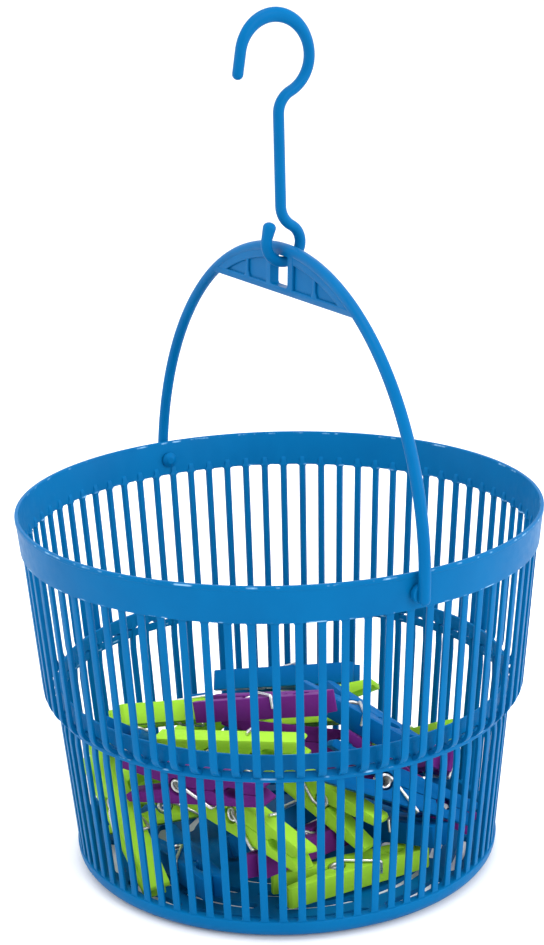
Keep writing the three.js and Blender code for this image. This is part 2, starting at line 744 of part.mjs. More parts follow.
function settledPeg(colour, carried, turn, place) {
  const pieces = carried.map((p) => ({ ...p, corners: p.corners.map((c) => c.clone().add(place)) }));
  const corners = pieces.flatMap((p) => p.corners);
  return { colour, turn, place, pieces, bounds: [...span(corners, alongX), ...span(corners, alongY)] };
}

// Each peg takes the place and turn, out of some near the asked one, at which it comes to rest lowest
function piled() {
  const pieces = pegPrisms(coilDiameter);
  const pegMiddle = new THREE.Vector3((jawLength - tailLength) / 2, 0, 0);
  const settled = [];
  for (const { colour, reach, around, yaw, tilt, edge } of heap) {
    const bearing = (heapFacing + around) * degree;
    let best = null;
    for (const [yawStep, tiltStep, rock] of turnSteps) {
      const turn = new THREE.Quaternion().setFromEuler(new THREE.Euler(
        (edge + rock) * degree, (tilt + tiltStep) * degree, (heapFacing + yaw + yawStep) * degree, 'ZYX',
      ));
      const carried = pieces.map((piece) => turned(piece, turn));
      const middle = pegMiddle.clone().applyQuaternion(turn).z;
      const turning = turnCost * (Math.abs(yawStep) + Math.abs(tiltStep) + Math.abs(rock));
      for (const [xStep, yStep] of placeSteps) {
        const [x, y] = [reach * Math.cos(bearing) + xStep, reach * Math.sin(bearing) + yStep];
        const extra = middle + turning + placeCost * Math.hypot(xStep, yStep);
        const rest = restHeight(carried, x, y, settled, best ? best.cost - extra : Infinity);
        if (!rest || !rest.touches) continue;
        best = { cost: rest.height + extra, turn, carried, place: new THREE.Vector3(x, y, rest.height) };
      }
    }
    if (!best) throw new Error(`no room for the ${colour} peg at ${reach}, ${around}`);
    settled.push(settledPeg(colour, best.carried, best.turn, best.place));
  }
  return settled;
}

// The piled pegs are let down the last little way, with a small turn and with their legs as thin as they are
function settle() {
  const pieces = pegPrisms(wireDiameter);
  const settled = [];
  for (const { colour, turn, place } of piled()) {
    let best = null;
    for (const [xStep, yStep] of lastPlaces) {
      if (best) break;
      const [x, y] = [place.x + xStep, place.y + yStep];
      for (const [yaw, tilt, rock] of lastTurns) {
        const small = new THREE.Quaternion().setFromEuler(new THREE.Euler(rock * degree, tilt * degree, yaw * degree));
        const whole = turn.clone().multiply(small);
        const carried = pieces.map((piece) => turned(piece, whole));
        const rest = restHeight(carried, x, y, settled, best ? best.place.z : Infinity);
        if (rest && rest.touches) best = { carried, turn: whole, place: new THREE.Vector3(x, y, rest.height) };
      }
    }
    if (!best) throw new Error(`the ${colour} peg at ${place.x}, ${place.y} finds no rest`);
    settled.push(settledPeg(colour, best.carried, best.turn, best.place));
  }
  return settled;
}

// Assembly
const part = new THREE.Group();
part.name = 'peg_basket';
part.add(named('basket', makeBasket(), colours.blue));

const handleFrame = new THREE.Group();
handleFrame.position.set(0, 0, pivotHeight);
handleFrame.rotation.x = -lean;
handleFrame.add(named('handle', makeHandle(), colours.blue));
part.add(handleFrame);
part.add(named('hook', makeHook(), colours.blue));

const leverA = makeLever(-1);
const leverB = makeLever(1);
const path = springPath();
const spring = loft(wireStations(path), 5);
console.log(`least gap in the spring wire ${leastSelfGap(path).toFixed(2)} mm`);

settle().forEach(({ colour, place, turn }, i) => {
  const label = `peg_${String(i + 1).padStart(2, '0')}`;
  const peg = new THREE.Group();
  peg.position.copy(place);
  peg.quaternion.copy(turn);
  peg.add(named(`${label}_lever_a`, leverA.clone(), colours[colour]));
  peg.add(named(`${label}_lever_b`, leverB.clone(), colours[colour]));
  peg.add(named(`${label}_spring`, spring.clone(), colours.steel));
  part.add(peg);
});

export default part;
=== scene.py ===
"""Peg basket: a slatted plastic basket with its swing handle, its hang hook and a heap of spring pegs."""

import json
import logging
import math
from dataclasses import dataclass, field
from enum import Enum
from typing import Sequence

import bmesh
import bpy
from mathutils import Matrix, Vector
from mathutils.bvhtree import BVHTree

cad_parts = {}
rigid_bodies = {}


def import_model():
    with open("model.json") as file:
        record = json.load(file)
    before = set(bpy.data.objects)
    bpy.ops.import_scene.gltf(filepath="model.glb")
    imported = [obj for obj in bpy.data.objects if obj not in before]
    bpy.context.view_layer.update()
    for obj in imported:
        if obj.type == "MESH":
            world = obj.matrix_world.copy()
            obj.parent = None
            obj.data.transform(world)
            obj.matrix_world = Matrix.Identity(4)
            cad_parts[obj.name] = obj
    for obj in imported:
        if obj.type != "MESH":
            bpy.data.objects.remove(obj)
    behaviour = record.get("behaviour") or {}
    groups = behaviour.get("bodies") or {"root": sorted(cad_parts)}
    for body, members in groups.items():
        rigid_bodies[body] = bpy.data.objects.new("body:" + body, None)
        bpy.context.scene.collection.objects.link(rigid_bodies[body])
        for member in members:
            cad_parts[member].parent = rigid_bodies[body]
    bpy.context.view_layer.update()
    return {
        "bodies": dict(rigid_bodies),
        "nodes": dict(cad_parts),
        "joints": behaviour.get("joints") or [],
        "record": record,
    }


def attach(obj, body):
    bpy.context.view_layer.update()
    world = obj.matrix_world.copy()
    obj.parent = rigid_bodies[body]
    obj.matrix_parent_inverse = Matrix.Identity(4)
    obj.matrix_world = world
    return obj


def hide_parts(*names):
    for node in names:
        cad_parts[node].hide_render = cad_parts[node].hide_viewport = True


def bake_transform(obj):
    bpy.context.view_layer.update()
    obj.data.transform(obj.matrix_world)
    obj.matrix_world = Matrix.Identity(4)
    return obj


LOG = logging.getLogger("peg_basket")
MM = 0.001

# The turn in degrees from the viewer's frame to the part's
VIEW_TURN = 61.5

# The height of the handle's pivots in millimetres
PIVOT_HEIGHT = 161.0

# The largest share of an edge that one rounded corner takes up
CORNER_SHARE = 0.48

# A profile's point that is nearer to the axis than this is a pole
POLE_RADIUS = 1e-6

# The colour sockets of a Mix node, whose names are not unique
MIX_SHARE = 0
MIX_FIRST = 6
MIX_SECOND = 7
MIX_RESULT = 2

Pair = tuple[float, float]
Triple = tuple[float, float, float]
Colour = tuple[float, float, float, float]
Station = tuple[float, float, Vector, float, float]


class PegColour(Enum):
    """The three colours that the pegs are moulded in."""

    BLUE = "peg_blue_plastic"
    GREEN = "peg_green_plastic"
    PURPLE = "peg_purple_plastic"


class Cut(Enum):
    """What a tool solid does to the solid it meets."""

    JOIN = "UNION"
    REMOVE = "DIFFERENCE"


# Outlines and skins


def linear(red: int, green: int, blue: int) -> Colour:
    """Turn a screen colour into the linear colour that a shader takes, by the sRGB curve.

    Args:
        red: Red from 0 to 255.
        green: Green from 0 to 255.
        blue: Blue from 0 to 255.

    Returns:
        The linear colour with full opacity.
    """
    shares = [channel / 255 for channel in (red, green, blue)]
    opened = [s / 12.92 if s <= 0.04045 else ((s + 0.055) / 1.055) ** 2.4 for s in shares]
    return (opened[0], opened[1], opened[2], 1.0)


def curved(start: Vector, corner: Vector, end: Vector, steps: int) -> list[Vector]:
    """Return points on the curve that cuts a corner.

    Args:
        start: Where the curve starts.
        corner: The corner that it bends towards.
        end: Where the curve ends.
        steps: How many edges it has.

    Returns:
        The points in order.
    """
    shares = [k / steps for k in range(steps + 1)]
    return [start * (1 - t) ** 2 + corner * (2 * t * (1 - t)) + end * t**2 for t in shares]


def rounded(points: Sequence[Pair], radii: Sequence[float], steps: int = 3) -> list[Pair]:
    """Round the corners of a closed outline.

    Args:
        points: The outline's corners in order.
        radii: One radius for each corner, where 0 keeps the corner sharp.
        steps: How many edges make each round.

    Returns:
        The outline with its corners replaced by short curves.
    """
    outline: list[Pair] = []
    for i, (point, radius) in enumerate(zip(points, radii)):
        here = Vector(point)
        back = Vector(points[i - 1]) - here
        ahead = Vector(points[(i + 1) % len(points)]) - here
        if radius <= 0:
            outline.append((here.x, here.y))
            continue
        reach = radius / math.tan(back.angle(ahead) / 2)
        reach = min(reach, CORNER_SHARE * back.length, CORNER_SHARE * ahead.length)
        start = here + back.normalized() * reach
        end = here + ahead.normalized() * reach
        outline += [(spot.x, spot.y) for spot in curved(start, here, end, steps)]
    return outline


def softened(path: Sequence[Vector], reach: float, steps: int = 5) -> list[Vector]:
    """Round the inner corners of an open path.

    Args:
        path: The path's points.
        reach: How far from a corner its round starts.
        steps: How many edges make each round.

    Returns:
        The path with its corners replaced by short curves.
    """
    smooth = [path[0].copy()]
    for before, here, after in zip(path, path[1:], path[2:]):
        back = before - here
        ahead = after - here
        start = here + back.normalized() * min(reach, CORNER_SHARE * back.length)
        end = here + ahead.normalized() * min(reach, CORNER_SHARE * ahead.length)
        smooth += curved(start, here, end, steps)
    smooth.append(path[-1].copy())
    return smooth


def piece_of(name: str, points: Sequence[Vector], faces: Sequence[Sequence[int]]) -> bpy.types.Object:
    """Make a closed piece from points in millimetres, with its faces turned outwards.

    Args:
        name: The piece's name.
        points: The corners.
        faces: The corners' numbers, face by face.

    Returns:
        The new object, in metres.
    """
    mesh = bpy.data.meshes.new(name)
    mesh.from_pydata([Vector(p) * MM for p in points], [], [list(f) for f in faces])
    work = bmesh.new()
    work.from_mesh(mesh)
    bmesh.ops.recalc_face_normals(work, faces=work.faces[:])
    work.to_mesh(mesh)
    work.free()
    piece = bpy.data.objects.new(name, mesh)
    bpy.context.scene.collection.objects.link(piece)
    return piece


def revolved(name: str, profile: Sequence[Pair], segments: int) -> bpy.types.Object:
    """Turn a closed outline of radius and height about the upright axis.

    Args:
        name: The piece's name.
        profile: The outline, whose points at radius 0 become poles.
        segments: How many flats go round.

    Returns:
        The closed ring or disc.
    """
    points: list[Vector] = []
    rings: list[list[int]] = []
    for radius, height in profile:
        first = len(points)
        if radius < POLE_RADIUS:
            points.append(Vector((0, 0, height)))
            rings.append([first] * segments)
            continue
        for k in range(segments):
            angle = 2 * math.pi * k / segments
            points.append(Vector((radius * math.cos(angle), radius * math.sin(angle), height)))
        rings.append(list(range(first, first + segments)))
    faces: list[list[int]] = []
    for i, ring in enumerate(rings):
        other = rings[(i + 1) % len(rings)]
        for k in range(segments):
            n = (k + 1) % segments
            corners = list(dict.fromkeys([ring[k], ring[n], other[n], other[k]]))
            if len(corners) > 2:
                faces.append(corners)
    return piece_of(name, points, faces)


def lofted(name: str, rings: Sequence[Sequence[Vector]]) -> bpy.types.Object:
    """Join rings of points into one skin with closed ends.

    Args:
        name: The piece's name.
        rings: The rings in order, each with the same number of points.

    Returns:
        The closed piece.
    """
    sides = len(rings[0])
    points = [p for ring in rings for p in ring]
    faces: list[list[int]] = []
    for i in range(len(rings) - 1):
        for k in range(sides):
            n = (k + 1) % sides
            faces.append([i * sides + k, i * sides + n, (i + 1) * sides + n, (i + 1) * sides + k])
    last = (len(rings) - 1) * sides
    faces.append(list(range(sides)))
    faces.append(list(range(last, last + sides)))
    return piece_of(name, points, faces)


def slab(name: str, outline: Sequence[Pair], low: float, high: float) -> bpy.types.Object:
    """Give a flat outline in X and Z a width along Y.

    Args:
        name: The piece's name.
        outline: The outline's points.
        low: Where the width starts.
        high: Where the width ends.

    Returns:
        The closed slab.
    """
    return lofted(name, [[Vector((x, y, z)) for x, z in outline] for y in (low, high)])


def block(name: str, low: Sequence[float], high: Sequence[float]) -> bpy.types.Object:
    """Make a box between two corners.

    Args:
        name: The piece's name.
        low: The lowest corner.
        high: The highest corner.

    Returns:
        The closed box.
    """
    outline = [(low[0], low[2]), (high[0], low[2]), (high[0], high[2]), (low[0], high[2])]
    return slab(name, outline, low[1], high[1])


# Working on pieces


def evaluated_mesh(piece: bpy.types.Object) -> bpy.types.Mesh:
    """Copy a piece's mesh with its modifiers worked in.

    Args:
        piece: The piece.

    Returns:
        The plain mesh.
    """
    bpy.context.view_layer.update()
    graph = bpy.context.evaluated_depsgraph_get()
    return bpy.data.meshes.new_from_object(piece.evaluated_get(graph))


def work_in(piece: bpy.types.Object) -> None:
    """Replace a piece's mesh by its worked-in one and drop the modifiers.

    Args:
        piece: The piece.
    """
    mesh = evaluated_mesh(piece)
    worn = piece.data
    piece.modifiers.clear()
    piece.data = mesh
    bpy.data.meshes.remove(worn)


def discard(piece: bpy.types.Object) -> None:
    """Remove a helper object and its mesh.

    Args:
        piece: The helper.
    """
    mesh = piece.data
    bpy.data.objects.remove(piece)
    bpy.data.meshes.remove(mesh)


def meet(base: bpy.types.Object, tool: bpy.types.Object, cut: Cut) -> None:
    """Join a tool to a piece or take it away, and discard the tool.

    Args:
        base: The piece that stays.
        tool: The solid that is used up.
        cut: Whether the tool is joined or removed.
    """
    modifier = base.modifiers.new("meet", "BOOLEAN")
    modifier.solver = "MANIFOLD"
    modifier.operation = cut.value
    modifier.object = tool
    work_in(base)
    discard(tool)


def eased(
    piece: bpy.types.Object, width: float, segments: int = 2, angle: float = 30.0
) -> bpy.types.Object:
    """Round a piece's sharp edges.

    Args:
        piece: The piece.
        width: How wide the rounds are, in millimetres.
        segments: How many faces make each round.
        angle: The least angle in degrees at which an edge counts as sharp.

    Returns:
        The same piece.
    """
    modifier = piece.modifiers.new("ease", "BEVEL")
    modifier.width = width * MM
    modifier.segments = segments
    modifier.limit_method = "ANGLE"
    modifier.angle_limit = math.radians(angle)
    modifier.miter_outer = "MITER_ARC"
    work_in(piece)
    return piece


def smoothed(piece: bpy.types.Object, angle: float = 34.0) -> None:
    """Shade a piece smoothly, apart from its sharp edges.

    Args:
        piece: The piece.
        angle: The least angle in degrees at which an edge stays sharp.
    """
    work = bmesh.new()
    work.from_mesh(piece.data)
    limit = math.radians(angle)
    for face in work.faces:
        face.smooth = True
    for edge in work.edges:
        edge.smooth = len(edge.link_faces) == 2 and edge.calc_face_angle(0.0) < limit
    work.to_mesh(piece.data)
    work.free()


# Geometry Nodes


class NodeTrees:
    """The Geometry Nodes trees that repeat a shape round a ring and draw a wire along a path."""

    def __init__(self) -> None:
        """Build both trees."""
        self.ring = self._ring_tree()
        self.wire = self._wire_tree()

    @staticmethod
    def _new_tree(name: str, inputs: Sequence[tuple[str, str]]) -> bpy.types.NodeTree:
        """Start a tree with geometry in and out and the named inputs.

        Args:
            name: The tree's name.
            inputs: The name and the socket type of each input.

        Returns:
            The tree.
        """
        tree = bpy.data.node_groups.new(name, "GeometryNodeTree")
        tree.interface.new_socket("Geometry", in_out="INPUT", socket_type="NodeSocketGeometry")
        for label, kind in inputs:
            tree.interface.new_socket(label, in_out="INPUT", socket_type=kind)
        tree.interface.new_socket("Geometry", in_out="OUTPUT", socket_type="NodeSocketGeometry")
        return tree

    def _ring_tree(self) -> bpy.types.NodeTree:
        """Return the tree that repeats its geometry round the upright axis.

        Returns:
            The tree.
        """
        tree = self._new_tree(
            "Shape round a ring",
            [("Count", "NodeSocketInt"), ("Phase", "NodeSocketFloat"), ("Material", "NodeSocketMaterial")],
        )
        nodes, links = tree.nodes, tree.links
        given = nodes.new("NodeGroupInput")
        points = nodes.new("GeometryNodePoints")
        index = nodes.new("GeometryNodeInputIndex")
        share = nodes.new("ShaderNodeMath")
        share.operation = "DIVIDE"
        turn = nodes.new("ShaderNodeMath")
        turn.operation = "MULTIPLY_ADD"
        turn.inputs[1].default_value = 2 * math.pi
        spin = nodes.new("ShaderNodeCombineXYZ")
        rotation = nodes.new("FunctionNodeEulerToRotation")
        place = nodes.new("GeometryNodeInstanceOnPoints")
        links.new(given.outputs["Count"], points.inputs["Count"])
        links.new(index.outputs[0], share.inputs[0])
        links.new(given.outputs["Count"], share.inputs[1])
        links.new(share.outputs[0], turn.inputs[0])
        links.new(given.outputs["Phase"], turn.inputs[2])
        links.new(turn.outputs[0], spin.inputs["Z"])
        links.new(spin.outputs[0], rotation.inputs[0])
        links.new(points.outputs[0], place.inputs["Points"])
        links.new(given.outputs["Geometry"], place.inputs["Instance"])
        links.new(rotation.outputs[0], place.inputs["Rotation"])
        self._finish(tree, given, place.outputs[0])
        return tree

    def _wire_tree(self) -> bpy.types.NodeTree:
        """Return the tree that draws a round wire along a path of edges.

        Returns:
            The tree.
        """
        tree = self._new_tree(
            "Wire along a path",
            [("Radius", "NodeSocketFloat"), ("Sides", "NodeSocketInt"), ("Material", "NodeSocketMaterial")],
        )
        nodes, links = tree.nodes, tree.links
        given = nodes.new("NodeGroupInput")
        path = nodes.new("GeometryNodeMeshToCurve")
        section = nodes.new("GeometryNodeCurvePrimitiveCircle")
        tube = nodes.new("GeometryNodeCurveToMesh")
        tube.inputs["Fill Caps"].default_value = True
        links.new(given.outputs["Geometry"], path.inputs["Mesh"])
        links.new(given.outputs["Radius"], section.inputs["Radius"])
        links.new(given.outputs["Sides"], section.inputs["Resolution"])
        links.new(path.outputs[0], tube.inputs["Curve"])
        links.new(section.outputs[0], tube.inputs["Profile Curve"])
        self._finish(tree, given, tube.outputs[0])
        return tree

    @staticmethod
    def _finish(tree: bpy.types.NodeTree, given: bpy.types.Node, shape: bpy.types.NodeSocket) -> None:
        """End a tree by realizing its instances and setting its material.

        Args:
            tree: The tree.
            given: Its input node, which has the material.
            shape: The geometry so far.
        """
        realize = tree.nodes.new("GeometryNodeRealizeInstances")
        paint = tree.nodes.new("GeometryNodeSetMaterial")
        result = tree.nodes.new("NodeGroupOutput")
        tree.links.new(shape, realize.inputs[0])
        tree.links.new(realize.outputs[0], paint.inputs["Geometry"])
        tree.links.new(given.outputs["Material"], paint.inputs["Material"])
        tree.links.new(paint.outputs[0], result.inputs[0])

    @staticmethod
    def apply(piece: bpy.types.Object, tree: bpy.types.NodeTree, values: dict[str, object]) -> None:
        """Work a tree into a piece.

        Args:
            piece: The piece that the tree starts from.
            tree: The tree.
            values: The value of each named input.
        """
        modifier = piece.modifiers.new(tree.name, "NODES")
        modifier.node_group = tree
        for socket in tree.interface.items_tree:
            if socket.in_out == "INPUT" and socket.name in values:
                modifier[socket.identifier] = values[socket.name]
        work_in(piece)


# Finishes


@dataclass(frozen=True)
class Noise:
    """A noise pattern and the stretch of its values that counts.

    Attributes:
        scale: The pattern's scale for each metre.
        detail: How many octaves it has.
        span: The least and the greatest value that count.
    """

    scale: float
    detail: float
    span: Pair = (0.0, 1.0)


class PatternNodes:
    """A new material's shader, with patterns that read Object coordinates."""

    def __init__(self, name: str) -> None:
        """Start the material.

        Args:
            name: The material's name.
        """
        self.material = bpy.data.materials.new(name)
        self.material.use_nodes = True
        self.nodes = self.material.node_tree.nodes
        self.links = self.material.node_tree.links
        self.shader = self.nodes["Principled BSDF"]
        self.where = self.nodes.new("ShaderNodeTexCoord").outputs["Object"]

    def feed(self, socket: bpy.types.NodeSocket, value: bpy.types.NodeSocket | float | Colour) -> None:
        """Put a pattern or a fixed value into a socket.

        Args:
            socket: The socket.
            value: The pattern's socket, a number or a colour.
        """
        if isinstance(value, bpy.types.NodeSocket):
            self.links.new(value, socket)
        else:
            socket.default_value = value

    def dress(self, name: str, value: bpy.types.NodeSocket | float | Colour) -> None:
        """Put a pattern or a fixed value into one of the shader's inputs."""
        self.feed(self.shader.inputs[name], value)

    def noise(self, noise: Noise, wanted: Pair | None = None) -> bpy.types.NodeSocket:
        """Add a noise pattern.

        Args:
            noise: The pattern.
            wanted: What the ends of its span become, or None to keep its own values.

        Returns:
            The pattern's value.
        """
        node = self.nodes.new("ShaderNodeTexNoise")
        node.inputs["Scale"].default_value = noise.scale
        node.inputs["Detail"].default_value = noise.detail
        self.links.new(self.where, node.inputs["Vector"])
        if wanted is None:
            return node.outputs[0]
        ranged = self.nodes.new("ShaderNodeMapRange")
        for socket, value in zip(ranged.inputs, (node.outputs[0], *noise.span, *wanted)):
            self.feed(socket, value)
        return ranged.outputs[0]

    def maths(self, operation: str, *values: bpy.types.NodeSocket | float) -> bpy.types.NodeSocket:
        """Work out one value from others.

        Args:
            operation: The Math node's name for the operation.
            values: Patterns or fixed numbers, in the node's order.

        Returns:
            The result.
        """
        node = self.nodes.new("ShaderNodeMath")
        node.operation = operation
        for socket, value in zip(node.inputs, values):
            self.feed(socket, value)
        return node.outputs[0]

    def mixed(
        self, share: bpy.types.NodeSocket, first: bpy.types.NodeSocket | Colour, second: Colour
    ) -> bpy.types.NodeSocket:
        """Mix a colour into another.

        Args:
            share: How much of the second colour shows.
            first: The first colour.
            second: The second colour.

        Returns:
            The mixed colour.
        """
        mix = self.nodes.new("ShaderNodeMix")
        mix.data_type = "RGBA"
        self.feed(mix.inputs[MIX_SHARE], share)
        self.feed(mix.inputs[MIX_FIRST], first)
        self.feed(mix.inputs[MIX_SECOND], second)
        return mix.outputs[MIX_RESULT]


@dataclass(frozen=True)
class MouldedPlastic:
    """Injection-moulded plastic with a soft gloss, faint flow marks, a fine skin and, where given, flecks
    of painted highlight along its parting lines.

    Attributes:
        name: The material's name.
        body: The plastic's own colour.
        deep: The colour of its slightly darker flow marks.
        roughness: The middle of its roughness.
        flash_highlight_heights: Heights in millimetres of parting lines that carry flecks of moulding
            flash, painted as pale highlights.
        gloss: The level of its mirror-like reflection.
        flow: The pattern of the flow marks.
        flow_share: How much of the deep colour a flow mark shows at most.
        haze: The pattern that varies the roughness.
        haze_below: How far the roughness falls below its middle.
        haze_above: How far the roughness rises above its middle.
        skin: The pattern of the fine skin.
        skin_strength: How strongly the skin shows.
        skin_depth: The skin's depth in millimetres.
        flash_highlight_pattern: The pattern that breaks the painted highlight into flecks.
        flash_highlight_share: How much of the painted highlight colour a fleck shows at most.
        flash_highlight_reach: How far above and below its parting line a fleck reaches, in millimetres.
        flash_highlight_colour: The pale colour of the painted highlight flecks.
    """

    name: str
    body: Colour
    deep: Colour
    roughness: float = 0.36
    flash_highlight_heights: tuple[float, ...] = ()
    gloss: float = 0.04
    flow: Noise = Noise(38.0, 3.0, (0.42, 0.72))
    flow_share: float = 0.7
    haze: Noise = Noise(260.0, 4.0, (0.3, 0.7))
    haze_below: float = 0.05
    haze_above: float = 0.07
    skin: Noise = Noise(1500.0, 2.0)
    skin_strength: float = 0.06
    skin_depth: float = 0.05
    # The flecks of moulding flash are painted highlights in a pale colour
    flash_highlight_pattern: Noise = Noise(130.0, 5.0, (0.55, 0.66))
    flash_highlight_share: float = 0.6
    flash_highlight_reach: float = 0.35
    flash_highlight_colour: Colour = linear(150, 200, 235)

    def make(self) -> bpy.types.Material:
        """Build the material.

        Returns:
            The material, whose patterns read Object coordinates.
        """
        patterns = PatternNodes(self.name)
        tint = patterns.mixed(patterns.noise(self.flow, (0.0, self.flow_share)), self.body, self.deep)
        if self.flash_highlight_heights:
            # Pale flecks along the parting lines: moulding flash, painted as highlights
            tint = patterns.mixed(self._flash_highlights(patterns), tint, self.flash_highlight_colour)
        rough = (self.roughness - self.haze_below, self.roughness + self.haze_above)
        bump = patterns.nodes.new("ShaderNodeBump")
        patterns.feed(bump.inputs["Strength"], self.skin_strength)
        patterns.feed(bump.inputs["Distance"], self.skin_depth * MM)
        patterns.feed(bump.inputs["Height"], patterns.noise(self.skin))
        patterns.dress("Base Color", tint)
        patterns.dress("Roughness", patterns.noise(self.haze, rough))
        patterns.dress("Specular IOR Level", self.gloss)
        patterns.dress("Normal", bump.outputs[0])
        return patterns.material

    def _flash_highlights(self, patterns: PatternNodes) -> bpy.types.NodeSocket:
        """Add the flecks of moulding flash along the parting lines, painted as pale highlights.

        Args:
            patterns: The material's nodes.

        Returns:
            How much of the painted highlight colour shows.
        """
        apart = patterns.nodes.new("ShaderNodeSeparateXYZ")
        patterns.feed(apart.inputs[0], patterns.where)
        up = apart.outputs["Z"]
        reach = self.flash_highlight_reach * MM
        bands = [patterns.maths("COMPARE", up, height * MM, reach) for height in self.flash_highlight_heights]
        near = bands[0]
        for band in bands[1:]:
            near = patterns.maths("MAXIMUM", near, band)
        return patterns.maths("MULTIPLY", near, patterns.noise(self.flash_highlight_pattern, (0.0, self.flash_highlight_share)))


@dataclass(frozen=True)
class BrightWire:
    """Bright drawn steel wire with fine draw marks.

    Attributes:
        name: The material's name.
        body: The steel's colour.
        roughness: The middle of its roughness.
        marks: The pattern of the draw marks.
        marks_below: How far the roughness falls below its middle.
        marks_above: How far the roughness rises above its middle.
    """

    name: str
    body: Colour
    roughness: float = 0.2
    marks: Noise = Noise(900.0, 3.0, (0.3, 0.7))
    marks_below: float = 0.06
    marks_above: float = 0.12

    def make(self) -> bpy.types.Material:
        """Build the material.

        Returns:
            The material, whose patterns read Object coordinates.
        """
        patterns = PatternNodes(self.name)
        rough = (self.roughness - self.marks_below, self.roughness + self.marks_above)
        patterns.dress("Metallic", 1.0)
        patterns.dress("Base Color", self.body)
        patterns.dress("Roughness", patterns.noise(self.marks, rough))
        return patterns.material


def dressed(piece: bpy.types.Object, material: bpy.types.Material) -> None:
    """Give a piece one material all over."""
    piece.data.materials.clear()
    piece.data.materials.append(material)


# Sub-assemblies


@dataclass
class SlattedBasket:
    """The basket: rim, two tiers of upright bars, the shoulder between them and the slotted base.

    Sizes are in millimetres, and angles in degrees. Each station of a bar's nub has a share of the
    nub's height, an extra half width and an extra reach inwards.
    """

    # Bars, with a flare at their roots and a nub at their upper ends
    bar_count: int = 76
    bar_width: float = 3.8
    bar_inner_width: float = 2.3
    bar_depth: float = 1.9
    bar_round: float = 0.42
    bar_phase: float = -1.0
    flare: float = 1.1
    flare_shares: tuple[float, ...] = (0.0, 0.12, 0.3, 0.55, 1.0)
    nub: float = 4.6
    nub_shape: tuple[Triple, ...] = (
        (1.0, -0.9, -1.5),
        (0.93, -0.5, -1.1),
        (0.8, -0.2, -0.6),
        (0.6, -0.05, -0.25),
        (0.3, 0.0, -0.05),
    )

    # Rim, with a bead on its lip
    rim_top: float = 170.0
    rim_bottom: float = 153.3
    rim_radius: float = 119.95
    rim_draft: float = 1.8
    rim_wall: float = 1.7
    rim_foot_wall: float = 2.0
    bead: float = 0.3
    bead_drop: float = 1.9
    bead_foot: float = 2.2

    # Upper tier, which bends in to the ledge
    bar_top_radius: float = 117.3
    bar_foot_radius: float = 111.6
    bar_waist: float = 122.0
    bend_top: float = 87.0
    bend_drop: float = 0.84
    bend_steps: int = 10

    # Shoulder: the ledge and the band above it
    ledge: float = 79.6
    ledge_rise: float = 2.4
    ledge_width: float = 2.0
    ledge_back: float = 0.9
    band_outer: float = 106.1
    band_drop: float = 1.6
    band_top: float = 89.8
    band_bottom: float = 83.0
    band_radius: float = 104.6
    band_wall: float = 1.4
    band_lap: float = 0.1

    # Lower tier
    lower_top_radius: float = 105.4
    lower_foot_radius: float = 98.6
    lower_straight: float = 6.0
    lower_foot: float = 6.4

    # Base, whose rounded corner has points at shares of its width and height
    base_height: float = 9.0
    base_radius: float = 92.4
    foot_outer: float = 99.3
    foot_inner: float = 94.9
    foot_heel: Pair = (0.62, 0.2)
    foot_side: Pair = (0.92, 0.52)
    foot_inside: Pair = (0.3, 0.5)
    floor_thickness: float = 2.4

    # Floor slots, as rows of a radius and a count
    slot_width: float = 5.0
    slot_rows: tuple[tuple[float, int], ...] = ((84.0, 12), (72.0, 10), (60.0, 8), (48.0, 6))
    slot_steps: int = 10
    slot_tip_steps: int = 6
    spoke: float = 8.0
    cutter_spare: float = 1.0

    # Holes for the handle's pins
    pivot_height: float = PIVOT_HEIGHT
    pivot_hole: float = 3.4
    drill_reach: float = 9.0
    drill_inset: float = 3.0
    drill_sides: int = 32

    # Room for pegs
    room_top: float = 94.4
    room_margin: float = 3.6

    # Flats round the rim, the shoulder and the base
    segments: int = 228

    def build(self, trees: NodeTrees, material: bpy.types.Material) -> bpy.types.Object:
        """Make the basket as one moulding.

        Args:
            trees: The Geometry Nodes trees.
            material: The basket's plastic.

        Returns:
            The finished basket.
        """
        basket = self._rim()
        ring = {"Count": self.bar_count, "Phase": math.radians(self.bar_phase), "Material": material}
        for bar in (self._upper_bar(), self._lower_bar()):
            NodeTrees.apply(bar, trees.ring, ring)
            meet(basket, bar, Cut.JOIN)
        for hoop in (self._ledge(), self._band(), self._base()):
            meet(basket, hoop, Cut.JOIN)
        for radius, count in self.slot_rows:
            slot = self._floor_slot(radius, count)
            row = {"Count": count, "Phase": math.pi / count, "Material": material}
            NodeTrees.apply(slot, trees.ring, row)
            meet(basket, slot, Cut.REMOVE)
        for side in (-1, 1):
            meet(basket, self._pivot_drill(side), Cut.REMOVE)
        smoothed(basket)
        dressed(basket, material)
        return basket

    def room(self, height: float) -> float:
        """Return how far from the middle there is room for pegs at a height.

        Args:
            height: The height above the floor the basket stands on.

        Returns:
            The radius of the free room.
        """
        if height > self.room_top:
            return self.bar_foot_radius - self.room_margin
        share = (min(height, self.ledge) - self.base_height) / (self.ledge - self.base_height)
        rise = self.lower_top_radius - self.lower_foot_radius
        return self.lower_foot_radius + share * rise - self.room_margin

    def _rim(self) -> bpy.types.Object:
        """Return the thin band round the top, with the bead on its lip.

        Returns:
            The rim, which the other pieces are joined to.
        """
        inner = self.rim_radius - self.rim_wall
        foot = self.rim_radius - self.rim_draft
        corners = [
            (foot, self.rim_bottom),
            (self.rim_radius - self.bead, self.rim_top - self.bead_foot),
            (self.rim_radius, self.rim_top - self.bead_drop),
            (self.rim_radius, self.rim_top),
            (inner, self.rim_top),
            (foot - self.rim_foot_wall, self.rim_bottom),
        ]
        profile = rounded(corners, (0.4, 0.1, 0.1, 0.6, 0.6, 0.4), steps=4)
        return revolved("basket_moulding", profile, self.segments)

